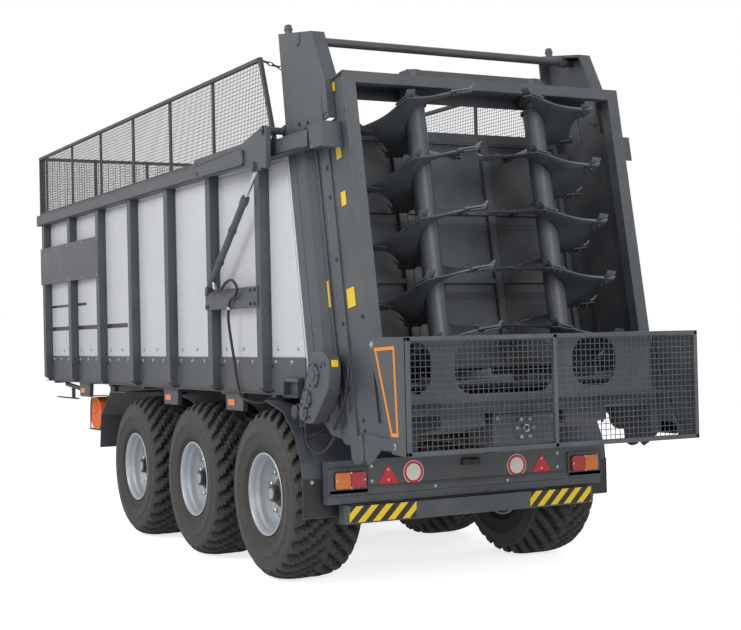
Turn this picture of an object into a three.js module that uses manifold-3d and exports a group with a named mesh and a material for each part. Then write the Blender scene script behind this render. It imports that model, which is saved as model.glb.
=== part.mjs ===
// Three-axle towed manure spreader with a leaning two-beater spreading unit at the rear.
// Millimetres. +X points forward to the tow coupling, +Y to the machine's left, +Z up from the ground.
import * as THREE from "three";
import { mergeVertices } from "three/addons/utils/BufferGeometryUtils.js";
import Module from "manifold-3d";

const wasm = await Module();
wasm.setup();

// ---- Driving dimensions ----
const SEAT = 0.3; // gap between two pieces that sit on each other
const RUN = 8; // smallest gap beside a moving piece
const UNIT_DEPTH = 845; // the leaning spreading unit's depth: the hopper and wheels stand ahead of it

const TYRE_RADIUS = 616;
const TYRE_WIDTH = 550;
const BEAD_RADIUS = 286;
const RIM_FLANGE_RADIUS = BEAD_RADIUS + 12.5;
const RIM_WIDTH = 500;
const WHEEL_FACETS = 20;
const SPINDLE_RADIUS = 40;
const REAR_AXLE_X = UNIT_DEPTH + 55;
const AXLE_SPACING = 1422;
const AXLE_NAMES = ["rear", "middle", "front"];
const AXLE_BEAM = 120;
const END_SPRING_REACH = 610;

const POST_COUNT = 7;
const POST_PITCH = 966;
const FIRST_POST_X = UNIT_DEPTH + 123;
const POST_WIDTH = 92;
const POST_BOTTOM_Z = 1373;
const WALL_OUTER_Y = 1160; // half the hopper's width: the widths below follow it
const POST_OUTER_Y = WALL_OUTER_Y + 75;
const BRACKET_OUTER_Y = WALL_OUTER_Y + 90;
const WALL_THICKNESS = 28;
const WALL_BOTTOM_Z = 1330;
const SILL_BOTTOM_Z = 1324;
const SILL_TOP_Z = 1590;
const SILL_OUTER_Y = WALL_OUTER_Y + 12;
const RAIL_BOTTOM_Z = 3004;
const RAIL_TOP_Z = 3115;
const RAIL_OUTER_Y = WALL_OUTER_Y + 102;
const RAIL_REAR_X = -10;
const FRONT_X = FIRST_POST_X + (POST_COUNT - 1) * POST_PITCH + 146; // front face of the top rail
const FRONT_WALL_X = FRONT_X - 50;
const BEAM_FRONT_X = FRONT_X - 150; // front end of the main beams, where the drawbar bends
const WHEEL_Y = WALL_OUTER_Y - 160; // centre plane of the wheels
const DECK_TOP_Z = 1460;
const DECK_THICKNESS = 60;
const MEMBER_WIDTH = 80; // cross member under the deck at each post

const SCREEN_TOP_Z = 3750;
const SCREEN_Y = WALL_OUTER_Y + 52; // centre plane of a side screen
const SCREEN_TUBE = 30;
const SCREEN_REAR_TOP_X = FIRST_POST_X - 64;
const SCREEN_REAR_BOTTOM_X = FIRST_POST_X - 300;
const MESH_THICKNESS = 6;

const LEAN = Math.atan(0.1734); // the spreading unit leans forward
const UNIT_FOOT_X = -810; // where the unit's rear plane meets the ground
const REAR_MEMBER_FRONT_X = UNIT_DEPTH - 445; // front of the cross member behind the first post
const UNIT_TOP = 3529; // along the leaning plane
const UNIT_BOTTOM = 1036;
const SIDE_OUTER_Y = WALL_OUTER_Y - 53;
const MOUTH_HALF = WALL_OUTER_Y - 132; // half width of the rear opening
const COLUMN_DEPTH = 85;
const SIDE_SHEET = 10;

const BEATER_Y = 490;
const BEATER_S = 190; // beater axis ahead of the unit's rear plane
const BEATER_TUBE_RADIUS = 72;
const BEATER_TIP_RADIUS = 462;
const FLIGHT_PITCH = 405;
const FLIGHT_BOTTOM = 1530;
const FLIGHT_TURNS = 4.6;
const FLIGHT_THICKNESS = 10;
const BLADES_PER_TURN = 5;
const SCALLOP_DEPTH = 135;
const BEATER_TOP = 3452;
const PAN_TOP = 1345;
const DISC_BASE = 1400;
const HUB_TOP = FLIGHT_BOTTOM - 20; // the beater's tube stands on the disc's hub
const DISC_RADIUS = 470;
const DISC_THICKNESS = 12;
const PADDLES = 6;

const GATE_S = UNIT_DEPTH - 155; // rear face of the gate's ribs, which slide behind the front flange
const RIB_DEPTH = 35;
const GATE_SHEET = 10;
const GATE_HALF = WALL_OUTER_Y - 125;
const GATE_BOTTOM = 1628;
const GATE_TOP = 3374;
const TOWER_INNER_Y = WALL_OUTER_Y - 98;
const TOWER_BASE = 3262;
const TIE_S = 530;
const TIE_T = 3933;
const TIE_RADIUS = 30;

const ARM_PIVOT = [FIRST_POST_X + POST_PITCH + 38, 3053]; // in X and Z, like the pins below
const ARM_PIN = [UNIT_FOOT_X + UNIT_DEPTH + 601, 3186];
const ROD_PIN = [ARM_PIN[0] + 180, 2951];
const BARREL_PIN = [FIRST_POST_X + POST_PITCH - 122, 2114];
const CYLINDER_Y = BRACKET_OUTER_Y + 35;
const BARREL_RADIUS = 29;
const ROD_RADIUS = 15;
const BARREL_LENGTH = 1000;
const ROD_HIDDEN = 560; // rod inside the barrel when it is drawn in
const EYE_HALF = 12;
const EYE_RADIUS = 30;
const PORT_LENGTH = 52;
const ARM_PLATE = 10;
const ARM_Y = CYLINDER_Y + 18;

const GUARD_X = -985;
const GUARD_HALF = WALL_OUTER_Y - 28;
const GUARD_BOTTOM_Z = 992;
const GUARD_TOP_Z = 1721;
const GUARD_TUBE = 30;
const GUARD_SHEET = 6;
const GUARD_PIVOT = [-833, 1048];

const BEAM_Y = 460; // centre of a main beam
const BEAM_WIDTH = 120;
const BEAM_BOTTOM_Z = 1100;
const BEAM_TOP_Z = 1300;
const CHASSIS_REAR_X = UNIT_DEPTH - 680;
const LIGHT_BEAM_X = CHASSIS_REAR_X - 49;
const LIGHT_BEAM_FRONT_X = LIGHT_BEAM_X + 74;
const LIGHT_BEAM_HALF = WALL_OUTER_Y - 28;
const LIGHT_BEAM_BOTTOM_Z = 600;
const LIGHT_BEAM_TOP_Z = 890;
const BUMPER_X = LIGHT_BEAM_X - 36;
const BUMPER_FRONT_X = BUMPER_X + 80;
const BUMPER_HALF = WALL_OUTER_Y - 130;
const BUMPER_BOTTOM_Z = 464;
const BUMPER_TOP_Z = 592;

const DRAWBAR_FRONT_X = FRONT_X + 1270;
const DRAWBAR_BOTTOM_Z = 760;
const DRAWBAR_TOP_Z = 1000;
const COUPLING_FRONT_X = DRAWBAR_FRONT_X + 380;
const COUPLING_Z = 800;
const JACK_X = FRONT_X + 730;
const JACK_Y = -385;
const JACK_PAD_Y = 310;
const CHOCK_X = FIRST_POST_X + 5 * POST_PITCH - 468;
const CHOCK_Z = 857;
const SHAFT_Z = 985;
const SHAFT_REAR_X = -160;
const SHAFT_FRONT_X = FRONT_X + 390;
const SHAFT_RADIUS = 42;

const wheelX = (i) => REAR_AXLE_X + i * AXLE_SPACING;
const postX = (k) => FIRST_POST_X + k * POST_PITCH;
const deckBottomZ = DECK_TOP_Z - DECK_THICKNESS;
const wallInnerY = WALL_OUTER_Y - WALL_THICKNESS;
const sides = [
  ["left", 1],
  ["right", -1],
];

// ---- Shape helpers ----
function solid(geometry) {
  const bare = new THREE.BufferGeometry();
  bare.setAttribute("position", geometry.getAttribute("position"));
  if (geometry.index) bare.setIndex(geometry.index);
  const merged = mergeVertices(bare, 1e-3);
  return new wasm.Manifold(
    new wasm.Mesh({
      numProp: 3,
      vertProperties: merged.getAttribute("position").array,
      triVerts: new Uint32Array(merged.index.array),
    }),
  );
}
function geometryOf(manifold) {
  const mesh = manifold.getMesh();
  const geometry = new THREE.BufferGeometry();
  geometry.setAttribute("position", new THREE.BufferAttribute(mesh.vertProperties, 3));
  geometry.setIndex(new THREE.BufferAttribute(mesh.triVerts, 1));
  geometry.computeVertexNormals();
  return geometry;
}
function join(...geometries) {
  return geometryOf(geometries.map(solid).reduce((a, b) => a.add(b)));
}
function cut(geometry, ...tools) {
  return geometryOf(tools.map(solid).reduce((a, b) => a.subtract(b), solid(geometry)));
}
function box(x0, x1, y0, y1, z0, z1) {
  const geometry = new THREE.BoxGeometry(x1 - x0, Math.abs(y1 - y0), z1 - z0);
  return geometry.translate((x0 + x1) / 2, (y0 + y1) / 2, (z0 + z1) / 2);
}
// A box on one side of the machine: side is 1 on the left and -1 on the right.
function sideBox(side, x0, x1, y0, y1, z0, z1) {
  return box(x0, x1, side * y0, side * y1, z0, z1);
}
function outline(points) {
  return new THREE.Shape(points.map(([u, v]) => new THREE.Vector2(u, v)));
}
// A flat plate drawn in X and Z, between two distances from the middle of the machine.
function plateY(points, side, y0, y1) {
  const geometry = new THREE.ExtrudeGeometry(outline(points), { depth: y1 - y0, bevelEnabled: false });
  return geometry.rotateX(Math.PI / 2).translate(0, side > 0 ? y1 : -y0, 0);
}
function plateX(points, x0, x1) {
  const geometry = new THREE.ExtrudeGeometry(outline(points), { depth: x1 - x0, bevelEnabled: false });
  const turn = new THREE.Matrix4().makeBasis(
    new THREE.Vector3(0, 1, 0),
    new THREE.Vector3(0, 0, 1),
    new THREE.Vector3(1, 0, 0),
  );
  return geometry.applyMatrix4(turn).translate(x0, 0, 0);
}
function plateZ(points, z0, z1) {
  const geometry = new THREE.ExtrudeGeometry(outline(points), { depth: z1 - z0, bevelEnabled: false });
  return geometry.translate(0, 0, z0);
}
function rod(from, to, radius, facets = 12) {
  const a = new THREE.Vector3(...from);
  const b = new THREE.Vector3(...to);
  const geometry = new THREE.CylinderGeometry(radius, radius, a.distanceTo(b), facets);
  const turn = new THREE.Quaternion().setFromUnitVectors(
    new THREE.Vector3(0, 1, 0),
    b.clone().sub(a).normalize(),
  );
  return geometry.applyQuaternion(turn).translate(...a.add(b).multiplyScalar(0.5).toArray());
}
function pinY(x, z, side, y0, y1, radius, facets = 12) {
  return rod([x, side * y0, z], [x, side * y1, z], radius, facets);
}
// A closed profile of [radius, distance along the axis] turned about the Y axis.
function revolve(profile, facets) {
  const points = profile.map(([r, y]) => new THREE.Vector2(r, y));
  return new THREE.LatheGeometry(points, facets);
}
function tube(points, radius, steps, facets = 8) {
  const path = new THREE.CatmullRomCurve3(points.map((p) => new THREE.Vector3(...p)));
  const ring = new THREE.Shape();
  ring.absarc(0, 0, radius, 0, 2 * Math.PI);
  return new THREE.ExtrudeGeometry(ring, {
    extrudePath: path,
    steps,
    curveSegments: facets,
    bevelEnabled: false,
  });
}
// World X and Z in the leaning unit's own S (forward) and T (up) directions.
function toUnit(x, z) {
  const dx = x - UNIT_FOOT_X;
  return [dx * Math.cos(LEAN) - z * Math.sin(LEAN), dx * Math.sin(LEAN) + z * Math.cos(LEAN)];
}
// World X of the plane that lies s ahead of the unit's rear plane, at height z.
function leanX(s, z) {
  return UNIT_FOOT_X + s / Math.cos(LEAN) + z * Math.tan(LEAN);
}

// ---- Materials ----
function finish(color, roughness, metalness) {
  return new THREE.MeshStandardMaterial({ color, roughness, metalness });
}
const anthracite = finish(0x4a4d52, 0.45, 0.3);
const silver = finish(0xd9dadb, 0.4, 0.3);
const rimSilver = finish(0xb9bec2, 0.35, 0.6);
const rubber = finish(0x2e2c2a, 0.9, 0);
const steel = finish(0x8a8c8f, 0.3, 0.8);
const orange = finish(0xf26a1b, 0.5, 0);
const lampRed = finish(0xc8281e, 0.3, 0);

const machine = new THREE.Group();
const unit = new THREE.Group(); // the leaning spreading unit
unit.position.x = UNIT_FOOT_X;
unit.rotation.y = LEAN;
machine.add(unit);

function add(name, geometry, material, parent = machine) {
  const mesh = new THREE.Mesh(geometry, material);
  mesh.name = name;
  parent.add(mesh);
  return mesh;
}

// ---- Chassis ----
function chassisFrame() {
  const parts = [];
  for (const [, side] of sides) {
    const inner = BEAM_Y - BEAM_WIDTH / 2;
    const outer = BEAM_Y + BEAM_WIDTH / 2;
    parts.push(sideBox(side, CHASSIS_REAR_X, BEAM_FRONT_X, inner, outer, BEAM_BOTTOM_Z, BEAM_TOP_Z));
  }
  parts.push(box(BEAM_FRONT_X - 100, BEAM_FRONT_X, -BEAM_Y, BEAM_Y, BEAM_BOTTOM_Z, BEAM_TOP_Z));
  parts.push(box(CHASSIS_REAR_X, CHASSIS_REAR_X + 60, -BEAM_Y, BEAM_Y, BEAM_BOTTOM_Z, BEAM_TOP_Z));
  return join(...parts);
}
add("chassis_frame", chassisFrame(), anthracite);

function drawbar() {
  const knee = BEAM_FRONT_X;
  const rear = knee - 760;
  const half = BEAM_Y + BEAM_WIDTH / 2;
  const tip = 110;
  const beam = BEAM_WIDTH;
  const plan = [
    [rear, -half],
    [knee, -half],
    [DRAWBAR_FRONT_X, -tip],
    [DRAWBAR_FRONT_X, tip],
    [knee, half],
    [rear, half],
    [rear, half - beam],
    [knee, half - beam],
    [DRAWBAR_FRONT_X - 380, 0],
    [knee, beam - half],
    [rear, beam - half],
  ];
  const side = [
    [rear, BEAM_BOTTOM_Z - SEAT],
    [rear, BEAM_BOTTOM_Z - 90],
    [knee, 850],
    [DRAWBAR_FRONT_X, DRAWBAR_BOTTOM_Z - 60],
    [DRAWBAR_FRONT_X, DRAWBAR_TOP_Z - 90],
    [knee, BEAM_BOTTOM_Z - SEAT],
  ];
  const prism = solid(plateZ(plan, 400, 1300));
  const profile = solid(plateY(side, 1, -half - 10, half + 10));
  const frame = geometryOf(prism.intersect(profile));
  const yoke = box(knee - 50, knee + 50, -half + 20, half - 20, 880, BEAM_BOTTOM_Z - 20);
  const jackPad = sideBox(-1, JACK_X - 80, JACK_X + 80, 180, JACK_PAD_Y, 780, 900);
  const bearing = rod([knee - 80, 0, SHAFT_Z], [knee + 80, 0, SHAFT_Z], SHAFT_RADIUS + 2, 16);
  return cut(join(frame, yoke, jackPad), bearing);
}
add("drawbar", drawbar(), anthracite);

function couplingHead() {
  const plate = box(
    DRAWBAR_FRONT_X + SEAT,
    DRAWBAR_FRONT_X + 40,
    -105,
    105,
    COUPLING_Z - 95,
    COUPLING_Z + 105,
  );
  const neck = [
    [DRAWBAR_FRONT_X + 30, COUPLING_Z - 45],
    [COUPLING_FRONT_X - 90, COUPLING_Z - 45],
    [COUPLING_FRONT_X - 90, COUPLING_Z + 45],
    [DRAWBAR_FRONT_X + 30, COUPLING_Z + 60],
  ];
  const cup = rod(
    [COUPLING_FRONT_X - 80, 0, COUPLING_Z - 62],
    [COUPLING_FRONT_X - 80, 0, COUPLING_Z + 52],
    80,
    16,
  );
  const ballSeat = new THREE.SphereGeometry(41, 12, 8);
  ballSeat.translate(COUPLING_FRONT_X - 80, 0, COUPLING_Z - 40);
  const body = join(plate, plateY(neck, 1, -50, 50), cup);
  return cut(body, ballSeat);
}
add("coupling_head", couplingHead(), steel);

function parkingJack() {
  const outer = rod([JACK_X, JACK_Y, 330], [JACK_X, JACK_Y, 1120], 48, 16);
  const inner = rod([JACK_X, JACK_Y, 15], [JACK_X, JACK_Y, 340], 36, 16);
  const foot = box(JACK_X - 130, JACK_X + 130, JACK_Y - 130, JACK_Y + 130, 0, 20);
  const flange = sideBox(-1, JACK_X - 70, JACK_X + 70, JACK_PAD_Y + SEAT, -JACK_Y, 780, 900);
  const crank = rod([JACK_X, JACK_Y, 1090], [JACK_X, JACK_Y - 130, 1090], 14, 10);
  const handle = rod([JACK_X, JACK_Y - 120, 1090], [JACK_X - 150, JACK_Y - 120, 1090], 12, 10);
  return join(outer, inner, foot, flange, crank, handle);
}
add("parking_jack", parkingJack(), anthracite);

// ---- Hopper ----
function sideWall(side) {
  const s = UNIT_DEPTH + SEAT * 2;
  const points = [
    [leanX(s, WALL_BOTTOM_Z), WALL_BOTTOM_Z],
    [FRONT_WALL_X, WALL_BOTTOM_Z],
    [FRONT_WALL_X, RAIL_BOTTOM_Z - SEAT],
    [leanX(s, RAIL_BOTTOM_Z - SEAT), RAIL_BOTTOM_Z - SEAT],
  ];
  return plateY(points, side, wallInnerY, WALL_OUTER_Y);
}
function sideFrame(side) {
  const inner = WALL_OUTER_Y + SEAT;
  const parts = [sideBox(side, RAIL_REAR_X, FRONT_X, inner, RAIL_OUTER_Y, RAIL_BOTTOM_Z, RAIL_TOP_Z)];
  const sillRear = leanX(UNIT_DEPTH, SILL_TOP_Z) + 10;
  parts.push(sideBox(side, sillRear, FRONT_X - 30, inner, SILL_OUTER_Y, SILL_BOTTOM_Z, SILL_TOP_Z));
  for (let k = 0; k < POST_COUNT; k++) {
    const x0 = postX(k) - POST_WIDTH / 2;
    const x1 = postX(k) + POST_WIDTH / 2;
    const post = [
      [inner, POST_BOTTOM_Z - 45],
      [POST_OUTER_Y, POST_BOTTOM_Z],
      [POST_OUTER_Y, RAIL_BOTTOM_Z + 5],
      [inner, RAIL_BOTTOM_Z + 5],
    ];
    const shape = side > 0 ? post : post.map(([y, z]) => [-y, z]).reverse();
    parts.push(plateX(shape, x0, x1));
  }
  // Bracket tube for the lift cylinder, with its pin, and the pin of the gate arm.
  parts.push(sideBox(side, postX(0), postX(1) + 50, inner, BRACKET_OUTER_Y, 1960, 2110));
  const [px, pz] = BARREL_PIN;
  parts.push(sideBox(side, px - 50, px + 50, POST_OUTER_Y - 20, BRACKET_OUTER_Y, pz - 60, pz + 40));
  parts.push(pinY(px, pz, side, BRACKET_OUTER_Y - 10, CYLINDER_Y + EYE_HALF + 14, 13));
  parts.push(pinY(...ARM_PIVOT, side, RAIL_OUTER_Y - 10, ARM_Y + ARM_PLATE + 16, 26));
  return join(...parts);
}
for (const [label, side] of sides) {
  add("side_wall_" + label, sideWall(side), silver);
  add("side_frame_" + label, sideFrame(side), anthracite);
}

// The deck plate and the cross members that carry it on the main beams.
function floorDeck() {
  const half = wallInnerY - SEAT;
  const rear = leanX(UNIT_DEPTH, DECK_TOP_Z) + 20;
  const bottom = BEAM_TOP_Z + SEAT;
  const parts = [box(rear, FRONT_WALL_X - 40 - SEAT, -half, half, deckBottomZ, DECK_TOP_Z)];
  parts.push(box(rear, REAR_MEMBER_FRONT_X, -half, half, bottom, deckBottomZ + 1));
  for (let k = 0; k < POST_COUNT; k++) {
    const x = postX(k);
    parts.push(box(x - MEMBER_WIDTH / 2, x + MEMBER_WIDTH / 2, -half, half, bottom, deckBottomZ + 1));
  }
  // Shelf for the wheel chock, hung from the cross members.
  parts.push(box(CHOCK_X - 50, CHOCK_X + 430, 900, 1065, CHOCK_Z - 12, CHOCK_Z));
  parts.push(box(CHOCK_X - 50, CHOCK_X - 30, 900, 940, CHOCK_Z - 12, bottom + 10));
  parts.push(box(CHOCK_X - 50, postX(5), 900, 940, bottom, bottom + 30));
  return join(...parts);
}
add("floor_deck", floorDeck(), anthracite);

function scraperFloor() {
  const parts = [];
  const rear = leanX(UNIT_DEPTH, DECK_TOP_Z) + 60;
  const front = FRONT_WALL_X - 120;
  const bottom = DECK_TOP_Z + SEAT;
  for (const y of [-620, 620]) {
    parts.push(box(rear, front, y - 18, y + 18, bottom, bottom + 14));
  }
  const slats = 10;
  for (let i = 0; i < slats; i++) {
    const x = rear + 30 + (i * (front - rear - 60)) / (slats - 1);
    parts.push(box(x - 25, x + 25, -wallInnerY + 40, wallInnerY - 40, bottom, bottom + 32));
  }
  return join(...parts);
}
add("scraper_floor", scraperFloor(), steel);

function frontWall() {
  const half = wallInnerY - SEAT;
  const parts = [box(FRONT_WALL_X - 40, FRONT_WALL_X, -half, half, deckBottomZ, RAIL_TOP_Z)];
  parts.push(
    box(FRONT_WALL_X - 40, FRONT_X, -WALL_OUTER_Y, WALL_OUTER_Y, RAIL_BOTTOM_Z, RAIL_TOP_Z),
  );
  for (const y of [-760, -255, 255, 760]) {
    parts.push(box(FRONT_WALL_X - 10, FRONT_X, y - 40, y + 40, deckBottomZ, RAIL_BOTTOM_Z + 10));
  }
  return join(...parts);
}
add("front_wall", frontWall(), anthracite);

// ---- Mesh screens on the hopper ----
function framedScreen(points, side, y, uprights) {
  const half = SCREEN_TUBE / 2;
  const sheet = plateY(points, side, y - MESH_THICKNESS / 2, y + MESH_THICKNESS / 2);
  const bars = points.map((p, i) => {
    const q = points[(i + 1) % points.length];
    return barY(p, q, side, y - half, y + half, SCREEN_TUBE);
  });
  const posts = uprights.map(([x, z0, z1, y0]) =>
    sideBox(side, x - half, x + half, y0 ?? y - half, y + half, z0, z1),
  );
  return join(sheet, ...bars, ...posts);
}
// A straight bar of square tube between two points in X and Z, a little longer at both ends.
function barY([x0, z0], [x1, z1], side, y0, y1, width) {
  const dx = x1 - x0;
  const dz = z1 - z0;
  const length = Math.hypot(dx, dz);
  const ux = (dx / length) * (width / 2);
  const uz = (dz / length) * (width / 2);
  const points = [
    [x0 - ux + uz, z0 - uz - ux],
    [x1 + ux + uz, z1 + uz - ux],
    [x1 + ux - uz, z1 + uz + ux],
    [x0 - ux - uz, z0 - uz + ux],
  ];
  return plateY(points, side, y0, y1);
}
const screenBottomZ = RAIL_TOP_Z + SEAT + 0.7 * SCREEN_TUBE;
const screenTopBarZ = SCREEN_TOP_Z - SCREEN_TUBE / 2;
const screenFrontX = FRONT_X - SCREEN_TUBE / 2 - 10;
function sideScreen(side) {
  const points = [
    [SCREEN_REAR_BOTTOM_X, screenBottomZ],
    [screenFrontX, screenBottomZ],
    [screenFrontX, screenTopBarZ],
    [SCREEN_REAR_TOP_X, screenTopBarZ],
  ];
  const uprights = [];
  for (let k = 1; k < POST_COUNT; k++) uprights.push([postX(k) - 90, screenBottomZ, screenTopBarZ]);
  return framedScreen(points, side, SCREEN_Y, uprights);
}
for (const [label, side] of sides) add("screen_" + label, sideScreen(side), anthracite);

function frontScreen() {
  const half = SCREEN_Y - SCREEN_TUBE / 2 - SEAT;
  const x0 = screenFrontX - SCREEN_TUBE / 2;
  const x1 = screenFrontX + SCREEN_TUBE / 2;
  const mid = screenFrontX;
  const z0 = RAIL_TOP_Z + SEAT;
  const parts = [box(mid - 3, mid + 3, -half, half, z0, SCREEN_TOP_Z)];
  parts.push(box(x0, x1, -half, half, z0, z0 + SCREEN_TUBE));
  parts.push(box(x0, x1, -half, half, SCREEN_TOP_Z - SCREEN_TUBE, SCREEN_TOP_Z));
  for (const y of [-half + 15, -half / 2, 0, half / 2, half - 15]) {
    parts.push(box(x0, x1, y - 15, y + 15, z0, SCREEN_TOP_Z));
  }
  return join(...parts);
}
add("screen_front", frontScreen(), anthracite);

function screenChain() {
  const half = SCREEN_Y - SCREEN_TUBE / 2 - 2.9;
  const sag = 190;
  const points = [];
  for (let i = -6; i <= 6; i++) {
    const y = (i / 6) * half;
    points.push([SCREEN_REAR_TOP_X + 10, y, screenTopBarZ - sag * (1 - (i / 6) ** 2)]);
  }
  return tube(points, 9, 30, 3);
}
add("screen_chain", screenChain(), steel);

// ---- Wheels, axles and springs ----
function rimGeometry() {
  const half = RIM_WIDTH / 2;
  return revolve(
    [
      [0, 100],
      [SPINDLE_RADIUS + 1, 100],
      [SPINDLE_RADIUS + 1, -60],
      [112, -60],
      [112, 92],
      [BEAD_RADIUS - 14, 92],
      [RIM_FLANGE_RADIUS - 6, -half],
      [RIM_FLANGE_RADIUS, 12 - half],
      [BEAD_RADIUS, 20 - half],
      [BEAD_RADIUS, half - 20],
      [RIM_FLANGE_RADIUS, half - 12],
      [RIM_FLANGE_RADIUS - 6, half],
      [BEAD_RADIUS - 14, 110],
      [110, 112],
      [104, 142],
      [58, 142],
      [58, 205],
      [0, 205],
    ],
    WHEEL_FACETS,
  );
}
function tyreGeometry() {
  const bead = RIM_WIDTH / 2;
  const half = TYRE_WIDTH / 2;
  const right = [
    [BEAD_RADIUS + 1, bead - 23],
    [RIM_FLANGE_RADIUS + 2, bead - 14],
    [RIM_FLANGE_RADIUS + 40, half - 4],
    [TYRE_RADIUS - 90, half],
    [TYRE_RADIUS - 26, half - 48],
    [TYRE_RADIUS, half - 140],
  ];
  const left = right.map(([r, y]) => [r, -y]);
  const profile = [...left, ...right.reverse()];
  return revolve([...profile, profile[0]], WHEEL_FACETS);
}
for (let i = 0; i < AXLE_NAMES.length; i++) {
  for (const [label, side] of sides) {
    const wheel = new THREE.Group();
    wheel.position.set(wheelX(i), side * WHEEL_Y, TYRE_RADIUS);
    if (side < 0) wheel.rotation.z = Math.PI;
    machine.add(wheel);
    add("rim_" + AXLE_NAMES[i] + "_" + label, rimGeometry(), rimSilver, wheel);
    add("tyre_" + AXLE_NAMES[i] + "_" + label, tyreGeometry(), rubber, wheel);
  }
}
function axle(x) {
  const z = TYRE_RADIUS;
  const half = AXLE_BEAM / 2;
  const parts = [box(x - half, x + half, 300 - WHEEL_Y, WHEEL_Y - 300, z - half, z + half)];
  for (const [, side] of sides) {
    parts.push(pinY(x, z, side, WHEEL_Y - 310, WHEEL_Y - 150, 205, 16));
    parts.push(pinY(x, z, side, WHEEL_Y - 160, WHEEL_Y - 68, 70));
    parts.push(pinY(x, z, side, WHEEL_Y - 100, WHEEL_Y + 92, SPINDLE_RADIUS));
  }
  return join(...parts);
}
AXLE_NAMES.forEach((label, i) => add("axle_" + label, axle(wheelX(i)), anthracite));

// The end hangers stand a little nearer to their axle than the ones between two axles.
function hangerX(i) {
  if (i === 0) return wheelX(0) - END_SPRING_REACH;
  if (i === AXLE_NAMES.length) return wheelX(i - 1) + END_SPRING_REACH;
  return wheelX(i) - AXLE_SPACING / 2;
}
function suspension(side) {
  const inner = BEAM_Y - 42;
  const outer = BEAM_Y + 42;
  const axleTop = TYRE_RADIUS + AXLE_BEAM / 2 + SEAT;
  const eyeZ = 900;
  const parts = [];
  for (let i = 0; i <= AXLE_NAMES.length; i++) {
    const x = hangerX(i);
    const hanger = [
      [x - 50, eyeZ - 50],
      [x + 50, eyeZ - 50],
      [x + 80, BEAM_BOTTOM_Z - SEAT],
      [x - 80, BEAM_BOTTOM_Z - SEAT],
    ];
    parts.push(plateY(hanger, side, BEAM_Y - 55, BEAM_Y + 55));
  }
  for (let i = 0; i < AXLE_NAMES.length; i++) {
    const x = wheelX(i);
    const rear = hangerX(i);
    const front = hangerX(i + 1);
    const leaf = new THREE.Shape();
    leaf.moveTo(rear, eyeZ - 30);
    leaf.quadraticCurveTo((rear + x) / 2, axleTop, x - 120, axleTop);
    leaf.lineTo(x + 120, axleTop);
    leaf.quadraticCurveTo((front + x) / 2, axleTop, front, eyeZ - 30);
    leaf.lineTo(front, eyeZ);
    leaf.quadraticCurveTo((front + x) / 2, axleTop + 70, x + 120, axleTop + 80);
    leaf.lineTo(x - 120, axleTop + 80);
    leaf.quadraticCurveTo((rear + x) / 2, axleTop + 70, rear, eyeZ);
    const spring = new THREE.ExtrudeGeometry(leaf, {
      depth: outer - inner,
      bevelEnabled: false,
      curveSegments: 5,
    });
    parts.push(spring.rotateX(Math.PI / 2).translate(0, side > 0 ? outer : -inner, 0));
  }
  return join(...parts);
}
for (const [label, side] of sides) add("suspension_" + label, suspension(side), anthracite);

// ---- Leaning spreading unit: sides, top beam, bed ----
function unitSide(side) {
  const section = [
    [0, MOUTH_HALF],
    [COLUMN_DEPTH, MOUTH_HALF],
    [COLUMN_DEPTH, SIDE_OUTER_Y - SIDE_SHEET],
    [UNIT_DEPTH - 285, SIDE_OUTER_Y - SIDE_SHEET],
    [UNIT_DEPTH - 245, WALL_OUTER_Y - SIDE_SHEET],
    [UNIT_DEPTH - SIDE_SHEET, WALL_OUTER_Y - SIDE_SHEET],
    [UNIT_DEPTH - SIDE_SHEET, TOWER_INNER_Y],
    [UNIT_DEPTH, TOWER_INNER_Y],
    [UNIT_DEPTH, WALL_OUTER_Y],
    [UNIT_DEPTH - 255, WALL_OUTER_Y],
    [UNIT_DEPTH - 293, SIDE_OUTER_Y],
    [0, SIDE_OUTER_Y],
  ];
  const shape = side > 0 ? section : section.map(([s, y]) => [s, -y]).reverse();
  const wall = plateZ(shape, UNIT_BOTTOM, UNIT_TOP);
  // The front part ends under the tower, and its foot is cut level under the deck.
  const [inside, outside] = [MOUTH_HALF - 20, WALL_OUTER_Y + 20];
  const towerRoom = sideBox(side, 160, UNIT_DEPTH + 155, inside, outside, TOWER_BASE, UNIT_TOP + 10);
  const foot = [
    toUnit(-560, 700),
    toUnit(400, 700),
    toUnit(400, 1180),
    toUnit(130, 1180),
    toUnit(-120, 1020),
    toUnit(-560, 1020),
  ];
  const body = cut(wall, towerRoom, plateY(foot, side, inside, outside));
  const ear = [
    toUnit(-290, 1060),
    toUnit(-640, 1090),
    toUnit(-640, 1040),
    toUnit(-480, 930),
    toUnit(-440, 910),
    toUnit(-290, 1010),
  ];
  const [gx, gz] = GUARD_PIVOT;
  const carrier = [
    toUnit(gx - 32, gz - 32),
    toUnit(-420, gz - 20),
    toUnit(-420, gz + 60),
    toUnit(gx - 32, gz + 32),
  ];
  const [ps, pt] = toUnit(gx, gz);
  return join(
    body,
    plateY(ear, side, SIDE_OUTER_Y - SIDE_SHEET, SIDE_OUTER_Y + 4),
    plateY(carrier, side, SIDE_OUTER_Y - 6, SIDE_OUTER_Y + 8),
    pinY(ps, pt, side, SIDE_OUTER_Y, GUARD_HALF + 12, 12),
  );
}
for (const [label, side] of sides) add("spreader_side_" + label, unitSide(side), anthracite, unit);

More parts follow.
